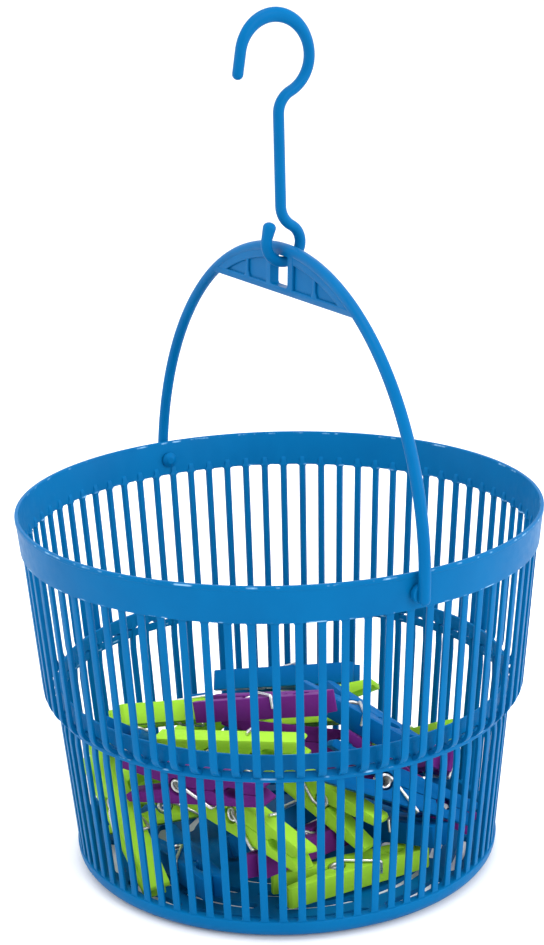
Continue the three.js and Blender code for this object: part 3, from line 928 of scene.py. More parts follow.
    def _ledge(self) -> bpy.types.Object:
        """Return the ring under the upper bars, with its sloped top.

        Returns:
            The ledge.
        """
        inner = self.band_outer - self.ledge_width - self.ledge_back
        low = self.ledge - self.band_drop
        high = self.ledge + self.ledge_rise
        corners = [
            (self.band_outer, low),
            (self.band_outer, self.ledge),
            (self.band_outer - self.ledge_width, high),
            (inner, high),
            (inner, low),
        ]
        profile = rounded(corners, (0.4, 0.8, 0.4, 0.3, 0.4), steps=4)
        return revolved("ledge", profile, self.segments)

    def _band(self) -> bpy.types.Object:
        """Return the band at the top of the lower tier, a slit above the ledge.

        Returns:
            The band.
        """
        inner = self.band_radius - self.band_wall
        corners = [
            (self.band_radius, self.band_bottom),
            (self.band_radius, self.band_top),
            (inner, self.band_top),
            (inner, self.band_bottom),
        ]
        profile = rounded(corners, (0.4, 0.5, 0.5, 0.4), steps=4)
        return revolved("band", profile, self.segments)

    def _base(self) -> bpy.types.Object:
        """Return the rounded foot with the floor inside it.

        Returns:
            The base, before its slots are cut.
        """
        width = self.foot_outer - self.base_radius
        height = self.base_height
        corners = [
            (0.0, 0.0),
            (self.base_radius, 0.0),
            (self.base_radius + self.foot_heel[0] * width, self.foot_heel[1] * height),
            (self.base_radius + self.foot_side[0] * width, self.foot_side[1] * height),
            (self.foot_outer, height),
            (self.foot_inner, height),
            (self.foot_inner - self.foot_inside[0] * width, self.foot_inside[1] * height),
            (self.base_radius, self.floor_thickness),
            (0.0, self.floor_thickness),
        ]
        profile = rounded(corners, (0, 3.0, 5.0, 6.0, 0.7, 0.5, 3.0, 2.0, 0), steps=4)
        return revolved("base", profile, self.segments)

    def _section(self, spread: float, inward: float) -> list[Pair]:
        """Outline a bar's section as pairs of depth and width.

        Args:
            spread: How much wider the bar is on each side where it flares.
            inward: How much further the bar reaches inwards.

        Returns:
            The closed outline.
        """
        outer = self.bar_width / 2 + spread
        inner = self.bar_inner_width / 2 + spread
        depth = self.bar_depth / 2
        corners = [(depth, -outer), (depth, outer), (-depth - inward, inner), (-depth - inward, -inner)]
        return rounded(corners, [self.bar_round] * len(corners), steps=2)

    def _bar(self, name: str, line: Sequence[tuple[float, float, float, float]]) -> bpy.types.Object:
        """Sweep a bar's section along its middle line.

        Args:
            name: The piece's name.
            line: The radius, height, spread and inward reach at each station, from the top down.

        Returns:
            The bar, on the +X side.
        """
        rings: list[list[Vector]] = []
        for i, (radius, height, spread, inward) in enumerate(line):
            before = line[max(i - 1, 0)]
            after = line[min(i + 1, len(line) - 1)]
            along = Vector((after[0] - before[0], after[1] - before[1])).normalized()
            out = Vector((-along.y, along.x))
            section = self._section(spread, inward)
            rings.append([Vector((radius + out.x * d, w, height + out.y * d)) for d, w in section])
        return lofted(name, rings)

    def _spread(self, away: float) -> float:
        """Return how far a bar flares at a distance from what it grows out of."""
        left = self.flare - min(max(away, 0.0), self.flare)
        return self.flare - math.sqrt(max(self.flare**2 - left**2, 0.0))

    def _flare_steps(self) -> list[float]:
        """Return distances at which a flare gets a station."""
        return [self.flare * share for share in self.flare_shares]

    def _nub(self, foot: float) -> list[Triple]:
        """Shape the rounded end of a bar on the inner face of the band above its slot.

        Args:
            foot: The height of the slot's top.

        Returns:
            The height, spread and inward reach at each station, from the top down.
        """
        return [(foot + self.nub * share, spread, inward) for share, spread, inward in self.nub_shape]

    def _upper_bar(self) -> bpy.types.Object:
        """Return one bar of the upper tier, from its nub inside the rim down to the ledge.

        Returns:
            The bar, on the +X side.
        """
        half = self.bar_depth / 2
        slope = (self.bar_top_radius - self.bar_foot_radius) / (self.rim_bottom - self.bend_top)

        def middle(height: float) -> float:
            """Return the radius of the bar's middle line above the bend."""
            return self.bar_foot_radius - half + slope * (height - self.bend_top)

        line = [(middle(height), height, *rest) for height, *rest in self._nub(self.rim_bottom)]
        for away in self._flare_steps():
            height = self.rim_bottom - away
            line.append((middle(height), height, self._spread(away), 0.0))
        line.append((middle(self.bar_waist), self.bar_waist, 0.0, 0.0))
        start = Vector((self.bar_foot_radius - half, self.bend_top))
        ledge = Vector((self.band_outer - self.ledge_width / 2, self.ledge + self.ledge_rise / 2))
        drop = self.bend_drop * (self.bend_top - ledge.y)
        control = Vector((start.x - slope * drop, self.bend_top - drop))
        end = ledge + (ledge - control).normalized()
        line += [(spot.x, spot.y, 0.0, 0.0) for spot in curved(start, control, end, self.bend_steps)]
        return self._bar("upper_bar", line)

    def _lower_bar(self) -> bpy.types.Object:
        """Return one bar of the lower tier, from its nub inside the band down to the base.

        Returns:
            The bar, on the +X side.
        """
        half = self.bar_depth / 2
        top = self.ledge - self.band_drop
        rise = self.lower_top_radius - self.lower_foot_radius
        upright = self.band_radius - half + self.band_lap

        def middle(height: float) -> float:
            """Return the radius of the bar's middle line, which goes no further out than the band."""
            share = (height - self.base_height) / (self.ledge - self.base_height)
            return min(self.lower_foot_radius + share * rise - half, upright)

        line = [(middle(height), height, *rest) for height, *rest in self._nub(self.band_bottom)]
        for away in self._flare_steps():
            line.append((middle(top), self.band_bottom - away, self._spread(away), 0.0))
        line.append((middle(top), top, 0.0, 0.0))
        below = top - self.lower_straight
        line.append((middle(below), below, 0.0, 0.0))
        for away in reversed(self._flare_steps()):
            height = self.base_height + away
            line.append((middle(height), height, self._spread(away), 0.0))
        line.append((middle(self.lower_foot), self.lower_foot, 0.0, 0.0))
        return self._bar("lower_bar", line)

    def _floor_slot(self, radius: float, count: int) -> bpy.types.Object:
        """Return the cutter for one curved slot of the floor.

        Args:
            radius: The radius of the slot's middle.
            count: How many slots share the row.

        Returns:
            The cutter, on the +X side.
        """
        half = self.slot_width / 2
        reach = math.pi / count - (self.spoke / 2 + half) / radius
        outline: list[Pair] = []
        for side in (1, -1):
            for k in range(self.slot_steps + 1):
                angle = side * reach * (2 * k / self.slot_steps - 1)
                grown = radius + side * half
                outline.append((grown * math.cos(angle), grown * math.sin(angle)))
            tip = side * reach
            middle = Vector((radius * math.cos(tip), radius * math.sin(tip)))
            for k in range(1, self.slot_tip_steps):
                angle = tip + (0 if side > 0 else math.pi) + math.pi * k / self.slot_tip_steps
                outline.append((middle.x + half * math.cos(angle), middle.y + half * math.sin(angle)))
        heights = (-self.cutter_spare, self.floor_thickness + self.cutter_spare)
        return lofted("floor_slot", [[Vector((x, y, z)) for x, y in outline] for z in heights])

    def _pivot_drill(self, side: int) -> bpy.types.Object:
        """Return the drill for one of the handle's holes in the rim.

        Args:
            side: -1 or 1.

        Returns:
            The drill, laid along X.
        """
        reach = self.drill_reach
        profile = [(0.0, -reach), (self.pivot_hole, -reach), (self.pivot_hole, reach), (0.0, reach)]
        drill = revolved("pivot_drill", profile, self.drill_sides)
        spot = Vector((side * (self.rim_radius - self.drill_inset), 0.0, self.pivot_height))
        drill.data.transform(Matrix.Translation(spot * MM) @ Matrix.Rotation(math.pi / 2, 4, "Y"))
        return drill


@dataclass
class SwingHandle:
    """The handle: an arched rod with a pocketed web under its top and a snap pin at each end.

    Sizes are in millimetres, and angles in degrees.
    """

    # Arched rod, whose feet are rounded through these angles
    arch_radius: float = 124.0
    rod: float = 5.2
    rod_sides: int = 20
    arch_steps: int = 120
    foot: float = 1.9
    foot_angles: tuple[float, ...] = (82, 60, 40, 20, 0)
    lean: float = 2.5
    pivot_height: float = PIVOT_HEIGHT

    # Web under the top of the arch, with raised borders round its pockets
    web_thickness: float = 1.8
    web_depth: float = 22.6
    web_steps: int = 48
    border: float = 4.4
    strip_width: float = 2.6
    strip_inset: float = 0.2
    strip_round: float = 0.7
    chord_rib: float = 3.4
    chord_round: float = 0.9
    raised_angle: float = 50.0

    # Slot for the hook
    slot_width: float = 16.0
    slot_height: float = 14.0
    slot_frame: float = 4.5
    frame_lift: float = 0.2
    frame_round: float = 0.8

    # Ribs between the pockets, wider at the foot and the head
    rib_offset: float = 31.0
    rib_width: float = 2.4
    rib_inset: float = 0.3
    rib_sink: float = 1.0
    rib_foot: float = 1.6
    rib_foot_lap: float = 0.2
    rib_foot_rise: float = 2.2
    rib_head: float = 1.8
    rib_head_drop: float = 2.6
    rib_round: float = 0.5

    # Pins that snap into the rim
    collar: float = 8.4
    collar_inner: float = 119.85
    pin: float = 6.0
    pin_head: float = 7.4
    pin_tip: float = 0.55
    pin_sides: int = 32
    head_outer: float = 116.8
    head_length: float = 2.4
    head_edge: float = 0.9

    def build(self, material: bpy.types.Material) -> bpy.types.Object:
        """Make the handle as one moulding, leaning as it stands.

        Args:
            material: The handle's plastic.

        Returns:
            The finished handle.
        """
        handle = self._rod()
        chord = self.arch_radius + self.rod / 2 - self.web_depth
        meet(handle, self._web(chord), Cut.JOIN)
        meet(handle, self._strip(chord), Cut.JOIN)
        half = self.border / 2
        reach = math.sqrt(self.arch_radius**2 - (chord + self.chord_rib / 2) ** 2)
        rib = block("chord_rib", (-reach, -half, chord), (reach, half, chord + self.chord_rib))
        meet(handle, eased(rib, self.chord_round, segments=3), Cut.JOIN)
        frame = self.slot_width / 2 + self.slot_frame
        top = math.sqrt(self.arch_radius**2 - frame**2)
        wall = block("slot_frame", (-frame, -half, chord + self.frame_lift), (frame, half, top))
        meet(handle, eased(wall, self.frame_round, segments=3), Cut.JOIN)
        for side in (-1, 1):
            meet(handle, self._rib(side, chord), Cut.JOIN)
            meet(handle, self._pivot_pin(side), Cut.JOIN)
        meet(handle, self._slot(), Cut.REMOVE)
        smoothed(handle)
        lean = Matrix.Rotation(-math.radians(self.lean), 4, "X")
        handle.data.transform(Matrix.Translation((0.0, 0.0, self.pivot_height * MM)) @ lean)
        dressed(handle, material)
        return handle

    def _rod(self) -> bpy.types.Object:
        """Return the arched rod with its rounded feet.

        Returns:
            The rod, with the pivots' height at 0.
        """
        radius = self.rod / 2
        ends = [(math.cos(a), math.sin(a)) for a in map(math.radians, self.foot_angles)]
        stations: list[tuple[Vector, Vector, float]] = []
        for size, back in ends:
            foot = Vector((-self.arch_radius, 0, -self.foot - radius * back))
            stations.append((foot, Vector((-1, 0, 0)), size))
        for k in range(self.arch_steps + 1):
            angle = math.pi * (1 - k / self.arch_steps)
            out = Vector((math.cos(angle), 0, math.sin(angle)))
            stations.append((out * self.arch_radius, out, 1.0))
        for size, back in reversed(ends):
            foot = Vector((self.arch_radius, 0, -self.foot - radius * back))
            stations.append((foot, Vector((1, 0, 0)), size))
        turns = [2 * math.pi * k / self.rod_sides for k in range(self.rod_sides)]
        side = Vector((0, 1, 0))
        rings = [
            [centre + (out * math.cos(t) + side * math.sin(t)) * radius * size for t in turns]
            for centre, out, size in stations
        ]
        return lofted("handle_moulding", rings)

    def _arch(self, chord: float) -> list[float]:
        """Return angles along the arch from one end of the web to the other."""
        start = math.asin(chord / self.arch_radius)
        return [start + (math.pi - 2 * start) * k / self.web_steps for k in range(self.web_steps + 1)]

    def _web(self, chord: float) -> bpy.types.Object:
        """Return the thin web that closes the top of the arch.

        Args:
            chord: The height of the web's straight lower edge.

        Returns:
            The web.
        """
        radius = self.arch_radius
        outline = [(radius * math.cos(a), radius * math.sin(a)) for a in self._arch(chord)]
        return slab("web", outline, -self.web_thickness / 2, self.web_thickness / 2)

    def _strip(self, chord: float) -> bpy.types.Object:
        """Return the raised strip that frames the pockets along the arch.

        Args:
            chord: The height of the web's lower edge.

        Returns:
            The strip.
        """
        angles = self._arch(chord)
        inner = self.arch_radius - self.rod / 2 - self.strip_width
        outline = [(self.arch_radius * math.cos(a), self.arch_radius * math.sin(a)) for a in angles]
        outline += [(inner * math.cos(a), max(inner * math.sin(a), chord)) for a in reversed(angles)]
        half = self.border / 2 - self.strip_inset
        strip = slab("web_strip", outline, -half, half)
        return eased(strip, self.strip_round, segments=3, angle=self.raised_angle)

    def _rib(self, side: int, chord: float) -> bpy.types.Object:
        """Return one upright rib between the pockets of the web.

        Args:
            side: -1 or 1.
            chord: The height of the web's lower edge.

        Returns:
            The rib, a little wider at its foot and head.
        """
        half = self.border / 2 - self.rib_inset
        middle = side * self.rib_offset
        top = math.sqrt(self.arch_radius**2 - self.rib_offset**2)
        under = top - self.rod / 2
        above = chord + self.chord_rib
        width = self.rib_width / 2
        edge = [
            (width + self.rib_foot, chord + self.rib_sink, 0),
            (width + self.rib_foot, above - self.rib_foot_lap, 1),
            (width, above + self.rib_foot_rise, 2),
            (width, under - self.rib_head_drop, 2),
            (width + self.rib_head, under, 1),
            (width + self.rib_head, top, 0),
        ]
        outline = [(middle + away, height) for away, height, _ in edge]
        outline += [(middle - away, height) for away, height, _ in reversed(edge)]
        rounds = [radius for _, _, radius in edge]
        rib = slab("web_rib", rounded(outline, rounds + rounds[::-1]), -half, half)
        return eased(rib, self.rib_round, angle=self.raised_angle)

    def _pivot_pin(self, side: int) -> bpy.types.Object:
        """Return a collar, pin and domed snap head laid along X.

        Args:
            side: -1 or 1.

        Returns:
            The pin.
        """
        inner = self.head_outer - self.head_length
        pin = self.pin / 2
        collar = self.collar / 2
        corners = [
            (0.0, inner),
            (self.pin_tip * pin, inner),
            (self.pin_head / 2, self.head_outer - self.head_edge),
            (self.pin_head / 2, self.head_outer),
            (pin, self.head_outer),
            (pin, self.collar_inner),
            (collar, self.collar_inner),
            (collar, self.arch_radius - self.rod / 4),
            (0.0, self.arch_radius - self.rod / 4),
        ]
        profile = rounded(corners, (0, 0.7, 0.2, 0.2, 0, 0, 0.4, 0.8, 0))
        body = revolved("pivot_pin", profile, self.pin_sides)
        body.data.transform(Matrix.Rotation(side * math.pi / 2, 4, "Y"))
        return body

    def _slot(self) -> bpy.types.Object:
        """Return the cutter for the hook's slot.

        Returns:
            The cutter.
        """
        half = self.slot_width / 2
        top = self.arch_radius - self.rod / 2
        low = top - self.slot_height
        corners = [(-half, low), (half, low), (half, top), (-half, top)]
        return slab("slot_cutter", rounded(corners, (1.6, 1.6, 0.9, 0.9), steps=4), -self.rod, self.rod)


@dataclass
class HangHook:
    """The hook: a hang bend, a cranked neck, a shank and the eye that goes through the handle's slot.

    Sizes are in millimetres, and angles in degrees.
    """

    # The handle that the eye hangs on
    handle: SwingHandle

    # Rod, whose ends are rounded through these angles
    width: float = 5.2
    shank: float = 4.9
    sides: int = 20
    cap_angles: tuple[float, ...] = (80, 60, 40, 20, 0)

    # Hang bend, which is thicker at its crown
    crown: float = 6.55
    crown_end: float = 65.0
    crown_steps: int = 48
    throat: float = 14.4
    tip_splay: float = 10.0
    tip_length: float = 12.0

    # Neck, shank and the crank under it
    neck_radius: float = 10.5
    neck_steps: int = 14
    shank_length: float = 40.0
    crank_radius: float = 10.3
    crank_turn: float = 60.0
    crank_steps: int = 14

    # Eye, whose middle is above that of the handle's rod, with a fuller tip
    eye_rise: float = 2.635
    eye_radius: float = 8.5
    eye_turn: float = 16.0
    eye_steps: int = 36
    eye_tip: float = 7.6
    tip_swell: float = 0.2
    tip_steps: int = 5

    def build(self, material: bpy.types.Material) -> bpy.types.Object:
        """Make the hook.

        Args:
            material: The hook's plastic.

        Returns:
            The finished hook.
        """
        hook = lofted("hook_moulding", [self._ring(*station) for station in self._stations()])
        smoothed(hook, angle=60.0)
        dressed(hook, material)
        return hook

    def _ring(self, y: float, z: float, along: Vector, swell: float, size: float) -> list[Vector]:
        """Place one section of the rod.

        Args:
            y: The middle's place along Y.
            z: The middle's height.
            along: The rod's direction there, in Y and Z.
            swell: How much of the crown's extra thickness the section has.
            size: The section's share of its full size, at a rounded end.

        Returns:
            The section's points.
        """
        thickness = self.shank + swell * (self.crown - self.shank)
        out = Vector((0.0, -along.y, along.x))
        centre = Vector((0.0, y, z)) + out * (thickness - self.shank) / 2
        turns = [2 * math.pi * k / self.sides for k in range(self.sides)]
        across = Vector((-1.0, 0.0, 0.0)) * self.width / 2 * size
        return [centre + across * math.cos(t) + out * (thickness / 2 * size * math.sin(t)) for t in turns]

    @staticmethod
    def _bend(
        middle: Pair, radius: float, start: float, sweep: float, steps: int, first: int = 0
    ) -> list[Station]:
        """Take the rod round a bend.

        Args:
            middle: The bend's middle in Y and Z.
            radius: The radius of the rod's middle line.
            start: The angle at which the bend starts, in radians.
            sweep: The angle that it goes through, which is negative for a clockwise bend.
            steps: How many stretches it has.
            first: The number of its first section, where 1 leaves out the one at the start.

        Returns:
            The rod's sections along the bend.
        """
        way = math.copysign(1.0, sweep)
        stations: list[Station] = []
        for k in range(first, steps + 1):
            turn = start + sweep * k / steps
            y = middle[0] + radius * math.cos(turn)
            z = middle[1] + radius * math.sin(turn)
            along = Vector((-way * math.sin(turn), way * math.cos(turn)))
            stations.append((y, z, along, 0.0, 1.0))
        return stations

    def _stations(self) -> list[Station]:
        """Return the rod's sections from the tip of the hang bend to the tip of the eye.

        Returns:
            The place in Y and Z, the direction, the swell and the size of each section.
        """
        lean = math.radians(self.handle.lean)
        eye_y = self.handle.arch_radius * math.sin(lean)
        eye_z = self.handle.pivot_height + self.handle.arch_radius * math.cos(lean) + self.eye_rise
        crank = math.radians(self.crank_turn)
        reach = self.eye_radius + self.crank_radius
        shank_y = eye_y + reach * math.cos(crank) - self.crank_radius
        shank_foot = eye_z + reach * math.sin(crank)
        shank_head = shank_foot + self.shank_length
        crown_radius = self.throat + self.shank / 2
        end = math.radians(self.crown_end)
        crown_y = shank_y + self.neck_radius - (crown_radius + self.neck_radius) * math.cos(end)
        crown_z = shank_head + (crown_radius + self.neck_radius) * math.sin(end)
        splay = math.radians(self.tip_splay)
        half = self.shank / 2
        caps = [(math.cos(a), math.sin(a)) for a in map(math.radians, self.cap_angles)]
        stations: list[Station] = []

        # The rounded tip of the hang bend
        up = Vector((math.sin(splay), math.cos(splay)))
        first = Vector((crown_y - crown_radius * math.cos(splay), crown_z + crown_radius * math.sin(splay)))
        tip = first - up * self.tip_length
        for size, back in caps:
            spot = tip + up * half * (1 - back)
            stations.append((spot.x, spot.y, up, 0.0, size))

        # The crown, which swells where the rod runs level
        start = math.pi - splay
        crown = self._bend((crown_y, crown_z), crown_radius, start, -(start + end), self.crown_steps)
        stations += [(y, z, along, max(along.x, 0.0) ** 2, size) for y, z, along, _, size in crown]

        # The neck, the crank at the other end of the straight shank, and the eye
        middle = (shank_y + self.neck_radius, shank_head)
        stations += self._bend(middle, self.neck_radius, math.pi - end, end, self.neck_steps, first=1)
        middle = (shank_y + self.crank_radius, shank_foot)
        stations += self._bend(middle, self.crank_radius, math.pi, crank, self.crank_steps)
        sweep = math.pi + crank + math.radians(self.eye_turn)
        stations += self._bend((eye_y, eye_z), self.eye_radius, crank, -sweep, self.eye_steps, first=1)

        # The fuller tip of the eye
        last_y, last_z, along, _, _ = stations[-1]
        last = Vector((last_y, last_z))
        tip = last + along * self.eye_tip
        for k in range(1, self.tip_steps):
            spot = last.lerp(tip - along * half, k / self.tip_steps)
            stations.append((spot.x, spot.y, along, 0.0, 1.0 + self.tip_swell * k / self.tip_steps))
        for size, back in reversed(caps):
            spot = tip - along * half * (1 - back)
            stations.append((spot.x, spot.y, along, 0.0, size * (1.0 + self.tip_swell)))
        return stations


@dataclass
class SpringPeg:
    """A clothes peg: two levers held together by a wire spring, made once and placed many times.

    Sizes are in millimetres, and angles in degrees. The coil's middle is the origin, the jaws point
    along +X and the upper lever lies on the +Z side.
    """

    # Levers
    width: float = 10.0
    jaw: float = 46.0
    tail: float = 29.0
    tail_angle: float = 12.0
    tail_end: float = 3.6
    nose: float = 5.4
    mouth_depth: float = 4.4
    mouth_rise: float = 3.4
    notch_place: float = 30.0
    notch_length: float = 9.4
    notch_depth: float = 2.4
    notch_lead: float = 0.2
    hole_place: float = 21.0
    hole_radius: float = 0.95
    face: float = 0.12
    seat: float = 4.2
    tip: float = 1.2
    edge_round: float = 0.45
    edge_angle: float = 40.0

    # Spring
    wire: float = 1.5
    wire_sides: int = 10
    coil: float = 7.2
    curls: int = 5
    curl_steps: int = 22
    coil_length: float = 8.7
    leg_place: float = 18.5
    leg_side: float = 6.05
    leg_wrap: float = 6.0
    leg_gap: float = 0.15
    leg_leave: float = 0.1
    leg_bend: float = 1.1
    blend_reach: float = 4.0

    # Finishes
    materials: dict[PegColour, bpy.types.Material] = field(default_factory=dict)
    steel: bpy.types.Material | None = None

    def build_patterns(
        self, trees: NodeTrees
    ) -> tuple[bpy.types.Object, bpy.types.Object, bpy.types.Object]:
        """Make one lower lever, one upper lever and one spring in the peg's own frame.

        Args:
            trees: The Geometry Nodes trees.

        Returns:
            The three patterns.
        """
        levers = []
        for side in (-1, 1):
            outline = [(x, side * z) for x, z in self._outline()]
            lever = slab("lever_pattern", outline, -self.width / 2, self.width / 2)
            eased(lever, self.edge_round, angle=self.edge_angle)
            smoothed(lever)
            levers.append(lever)
        return levers[0], levers[1], self._spring(trees)

    def _outer(self, x: float) -> float:
        """Return the height of a lever's straight outer edge."""
        top = self.face + self.tail * math.tan(math.radians(self.tail_angle)) + self.tail_end
        return top + (x + self.tail) / (self.tail + self.jaw) * (self.nose - top)

    def _outline(self) -> list[Pair]:
        """Return the upper lever's outline in X and Z.

        Returns:
            The closed outline.
        """
        slope = math.tan(math.radians(self.tail_angle))
        outline = rounded([
            (self.jaw, self.nose - self.tip),
            (self.jaw, self.mouth_rise),
            (self.jaw - self.mouth_depth, self.face),
            (self.notch_place + self.notch_length / 2 + self.notch_lead, self.face),
        ], radii=[0, 0.4, 1.2, 0])
        notch = (self.notch_length / 2, self.notch_depth)
        outline += self._arc((self.notch_place, self.face), notch, (0, 180), steps=12)
        hole = (self.hole_radius, self.hole_radius)
        outline += self._arc((self.hole_place, self.face), hole, (0, 180), steps=6)
        start = math.degrees(math.asin(self.face / self.seat))
        seat = (self.seat, self.seat)
        outline += self._arc((0, 0), seat, (start, 180 - self.tail_angle - start), steps=14)
        inner = self.face + self.tail * slope
        tail_top = self._outer(-self.tail)
        shoulder = (-self.tail + self.tip, self._outer(-self.tail + self.tip))
        nose = (self.jaw - self.tip, self._outer(self.jaw - self.tip))
        outline += rounded([
            outline[-1],
            (-self.tail, inner),
            (-self.tail, tail_top - self.tip),
            shoulder,
            nose,
            (self.jaw, self.nose - self.tip),
        ], radii=[0, 0.5, 0.6, 0.6, 0.8, 0])[1:-1]
        return outline

    @staticmethod
    def _arc(middle: Pair, size: Pair, span: Pair, steps: int) -> list[Pair]:
        """Return points on an arc of an ellipse.

        Args:
            middle: Its middle in X and Z.
            size: Its half sizes along X and Z.
            span: The angles at which it starts and ends.
            steps: How many edges it has.

        Returns:
            The points in order.
        """
        start, end = span
        angles = [math.radians(start + (end - start) * k / steps) for k in range(steps + 1)]
        return [(middle[0] + size[0] * math.cos(a), middle[1] + size[1] * math.sin(a)) for a in angles]

    def _spring(self, trees: NodeTrees) -> bpy.types.Object:
        """Return the wire spring: a leg on each lever's outer edge and the coil between them.

        Args:
            trees: The Geometry Nodes trees.

        Returns:
            The spring pattern.
        """
        radius = (self.coil - self.wire) / 2
        foot = Vector((self.leg_place, self._outer(self.leg_place) + self.leg_gap + self.wire / 2))
        leave = math.atan2(foot.y, foot.x) - math.acos(radius / foot.length)
        total = 2 * math.pi * self.curls + 2 * leave
        steps = self.curl_steps * self.curls
        coil: list[Vector] = []
        for k in range(steps + 1):
            angle = -leave + total * k / steps
            across = (k / steps - 0.5) * self.coil_length
            coil.append(Vector((radius * math.cos(angle), across, radius * math.sin(angle))))
        path: list[Vector] = []
        path += reversed(self._leg(coil[0], foot, -1))
        path += coil
        path += self._leg(coil[-1], foot, 1)
        mesh = bpy.data.meshes.new("spring_pattern")
        mesh.from_pydata([p * MM for p in path], [(i, i + 1) for i in range(len(path) - 1)], [])
        spring = bpy.data.objects.new("spring_pattern", mesh)
        bpy.context.scene.collection.objects.link(spring)
        wire = {"Radius": self.wire / 2 * MM, "Sides": self.wire_sides, "Material": self.steel}
        NodeTrees.apply(spring, trees.wire, wire)
        smoothed(spring, angle=50.0)
        return spring

    def _leg(self, start: Vector, foot: Vector, side: int) -> list[Vector]:
        """Return a leg's points from the coil's end to the wire's end.

        Args:
            start: The coil's end.
            foot: The place along X and the height of the wire's wrap.
            side: -1 for the lower lever's leg, 1 for the upper lever's.

        Returns:
            The points after the coil's end.
        """
        over = Vector((foot.x, side * self.leg_side, side * foot.y))
        out = start.lerp(over, self.leg_leave)
        out.y = side * self.leg_side
        end = Vector((foot.x, side * (self.leg_side - self.leg_wrap), side * foot.y))
        return softened([start, out, over, end], self.leg_bend)[1:]

    def place(
        self, label: str, colour: PegColour, frame: Matrix, patterns: Sequence[bpy.types.Object], base: str
    ) -> list[bpy.types.Object]:
        """Put one peg in the heap and tie its levers to their bodies.

        Args:
            label: The peg's name, such as peg_01.
            colour: The plastic's colour.
            frame: The peg's place and turn.
            patterns: The lower lever, the upper lever and the spring.
            base: The body that the lower lever rides on.

        Returns:
            The peg's pieces.
        """
        lower, upper, spring = patterns
        moving = f"{label}_lever_b"
        pieces = []
        for pattern, name, node, body in (
            (lower, f"{label}_lower_lever", f"{label}_lever_a", base),
            (upper, f"{label}_upper_lever", moving, moving),
        ):
            lever = self._copied(pattern, name, frame)
            dressed(lever, self.materials[colour])
            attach(lever, body)
            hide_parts(node)
            pieces.append(lever)
        wire = self._copied(spring, f"{label}_wire", frame)
        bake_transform(wire)
        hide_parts(f"{label}_spring")
        return [*pieces, wire]

    def lie(
        self, label: str, colour: PegColour, frame: Matrix, patterns: Sequence[bpy.types.Object], base: str
    ) -> list[bpy.types.Object]:
        """Lay one more peg, which no solid stands for, on the heap.

        Args:
            label: The peg's name.
            colour: The plastic's colour.
            frame: The peg's place and turn.
            patterns: The lower lever, the upper lever and the spring.
            base: The body that the peg rides on.

        Returns:
            The peg's pieces.
        """
        pieces = []
        for pattern, name in zip(patterns, ("lower_lever", "upper_lever", "wire")):
            piece = self._copied(pattern, f"{label}_{name}", frame)
            pieces.append(piece)
            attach(piece, base)
            if name == "wire":
                continue
            dressed(piece, self.materials[colour])
        return pieces

    @staticmethod
    def _copied(pattern: bpy.types.Object, name: str, frame: Matrix) -> bpy.types.Object:
        """Copy a pattern's mesh into a new piece at a place.

        Args:
            pattern: The pattern.
            name: The new piece's name.
            frame: The place and turn that go into the mesh.

        Returns:
            The new piece, at the origin.
        """
        mesh = pattern.data.copy()
        mesh.name = name
        mesh.transform(frame)
        piece = bpy.data.objects.new(name, mesh)
        bpy.context.scene.collection.objects.link(piece)
        return piece


@dataclass(frozen=True)
class LoosePeg:
    """A peg past the part's solids, and where it falls on the heap.

    Attributes:
        colour: The plastic's colour.
        place: Its middle, in millimetres to the viewer's right and away from the viewer.
        heading: Which way its jaws point, in degrees from the viewer's right.
        lying: The angle about its own length, where 90 lays it on its side.
    """

    colour: PegColour
    place: Pair
    heading: float
    lying: float = 90.0


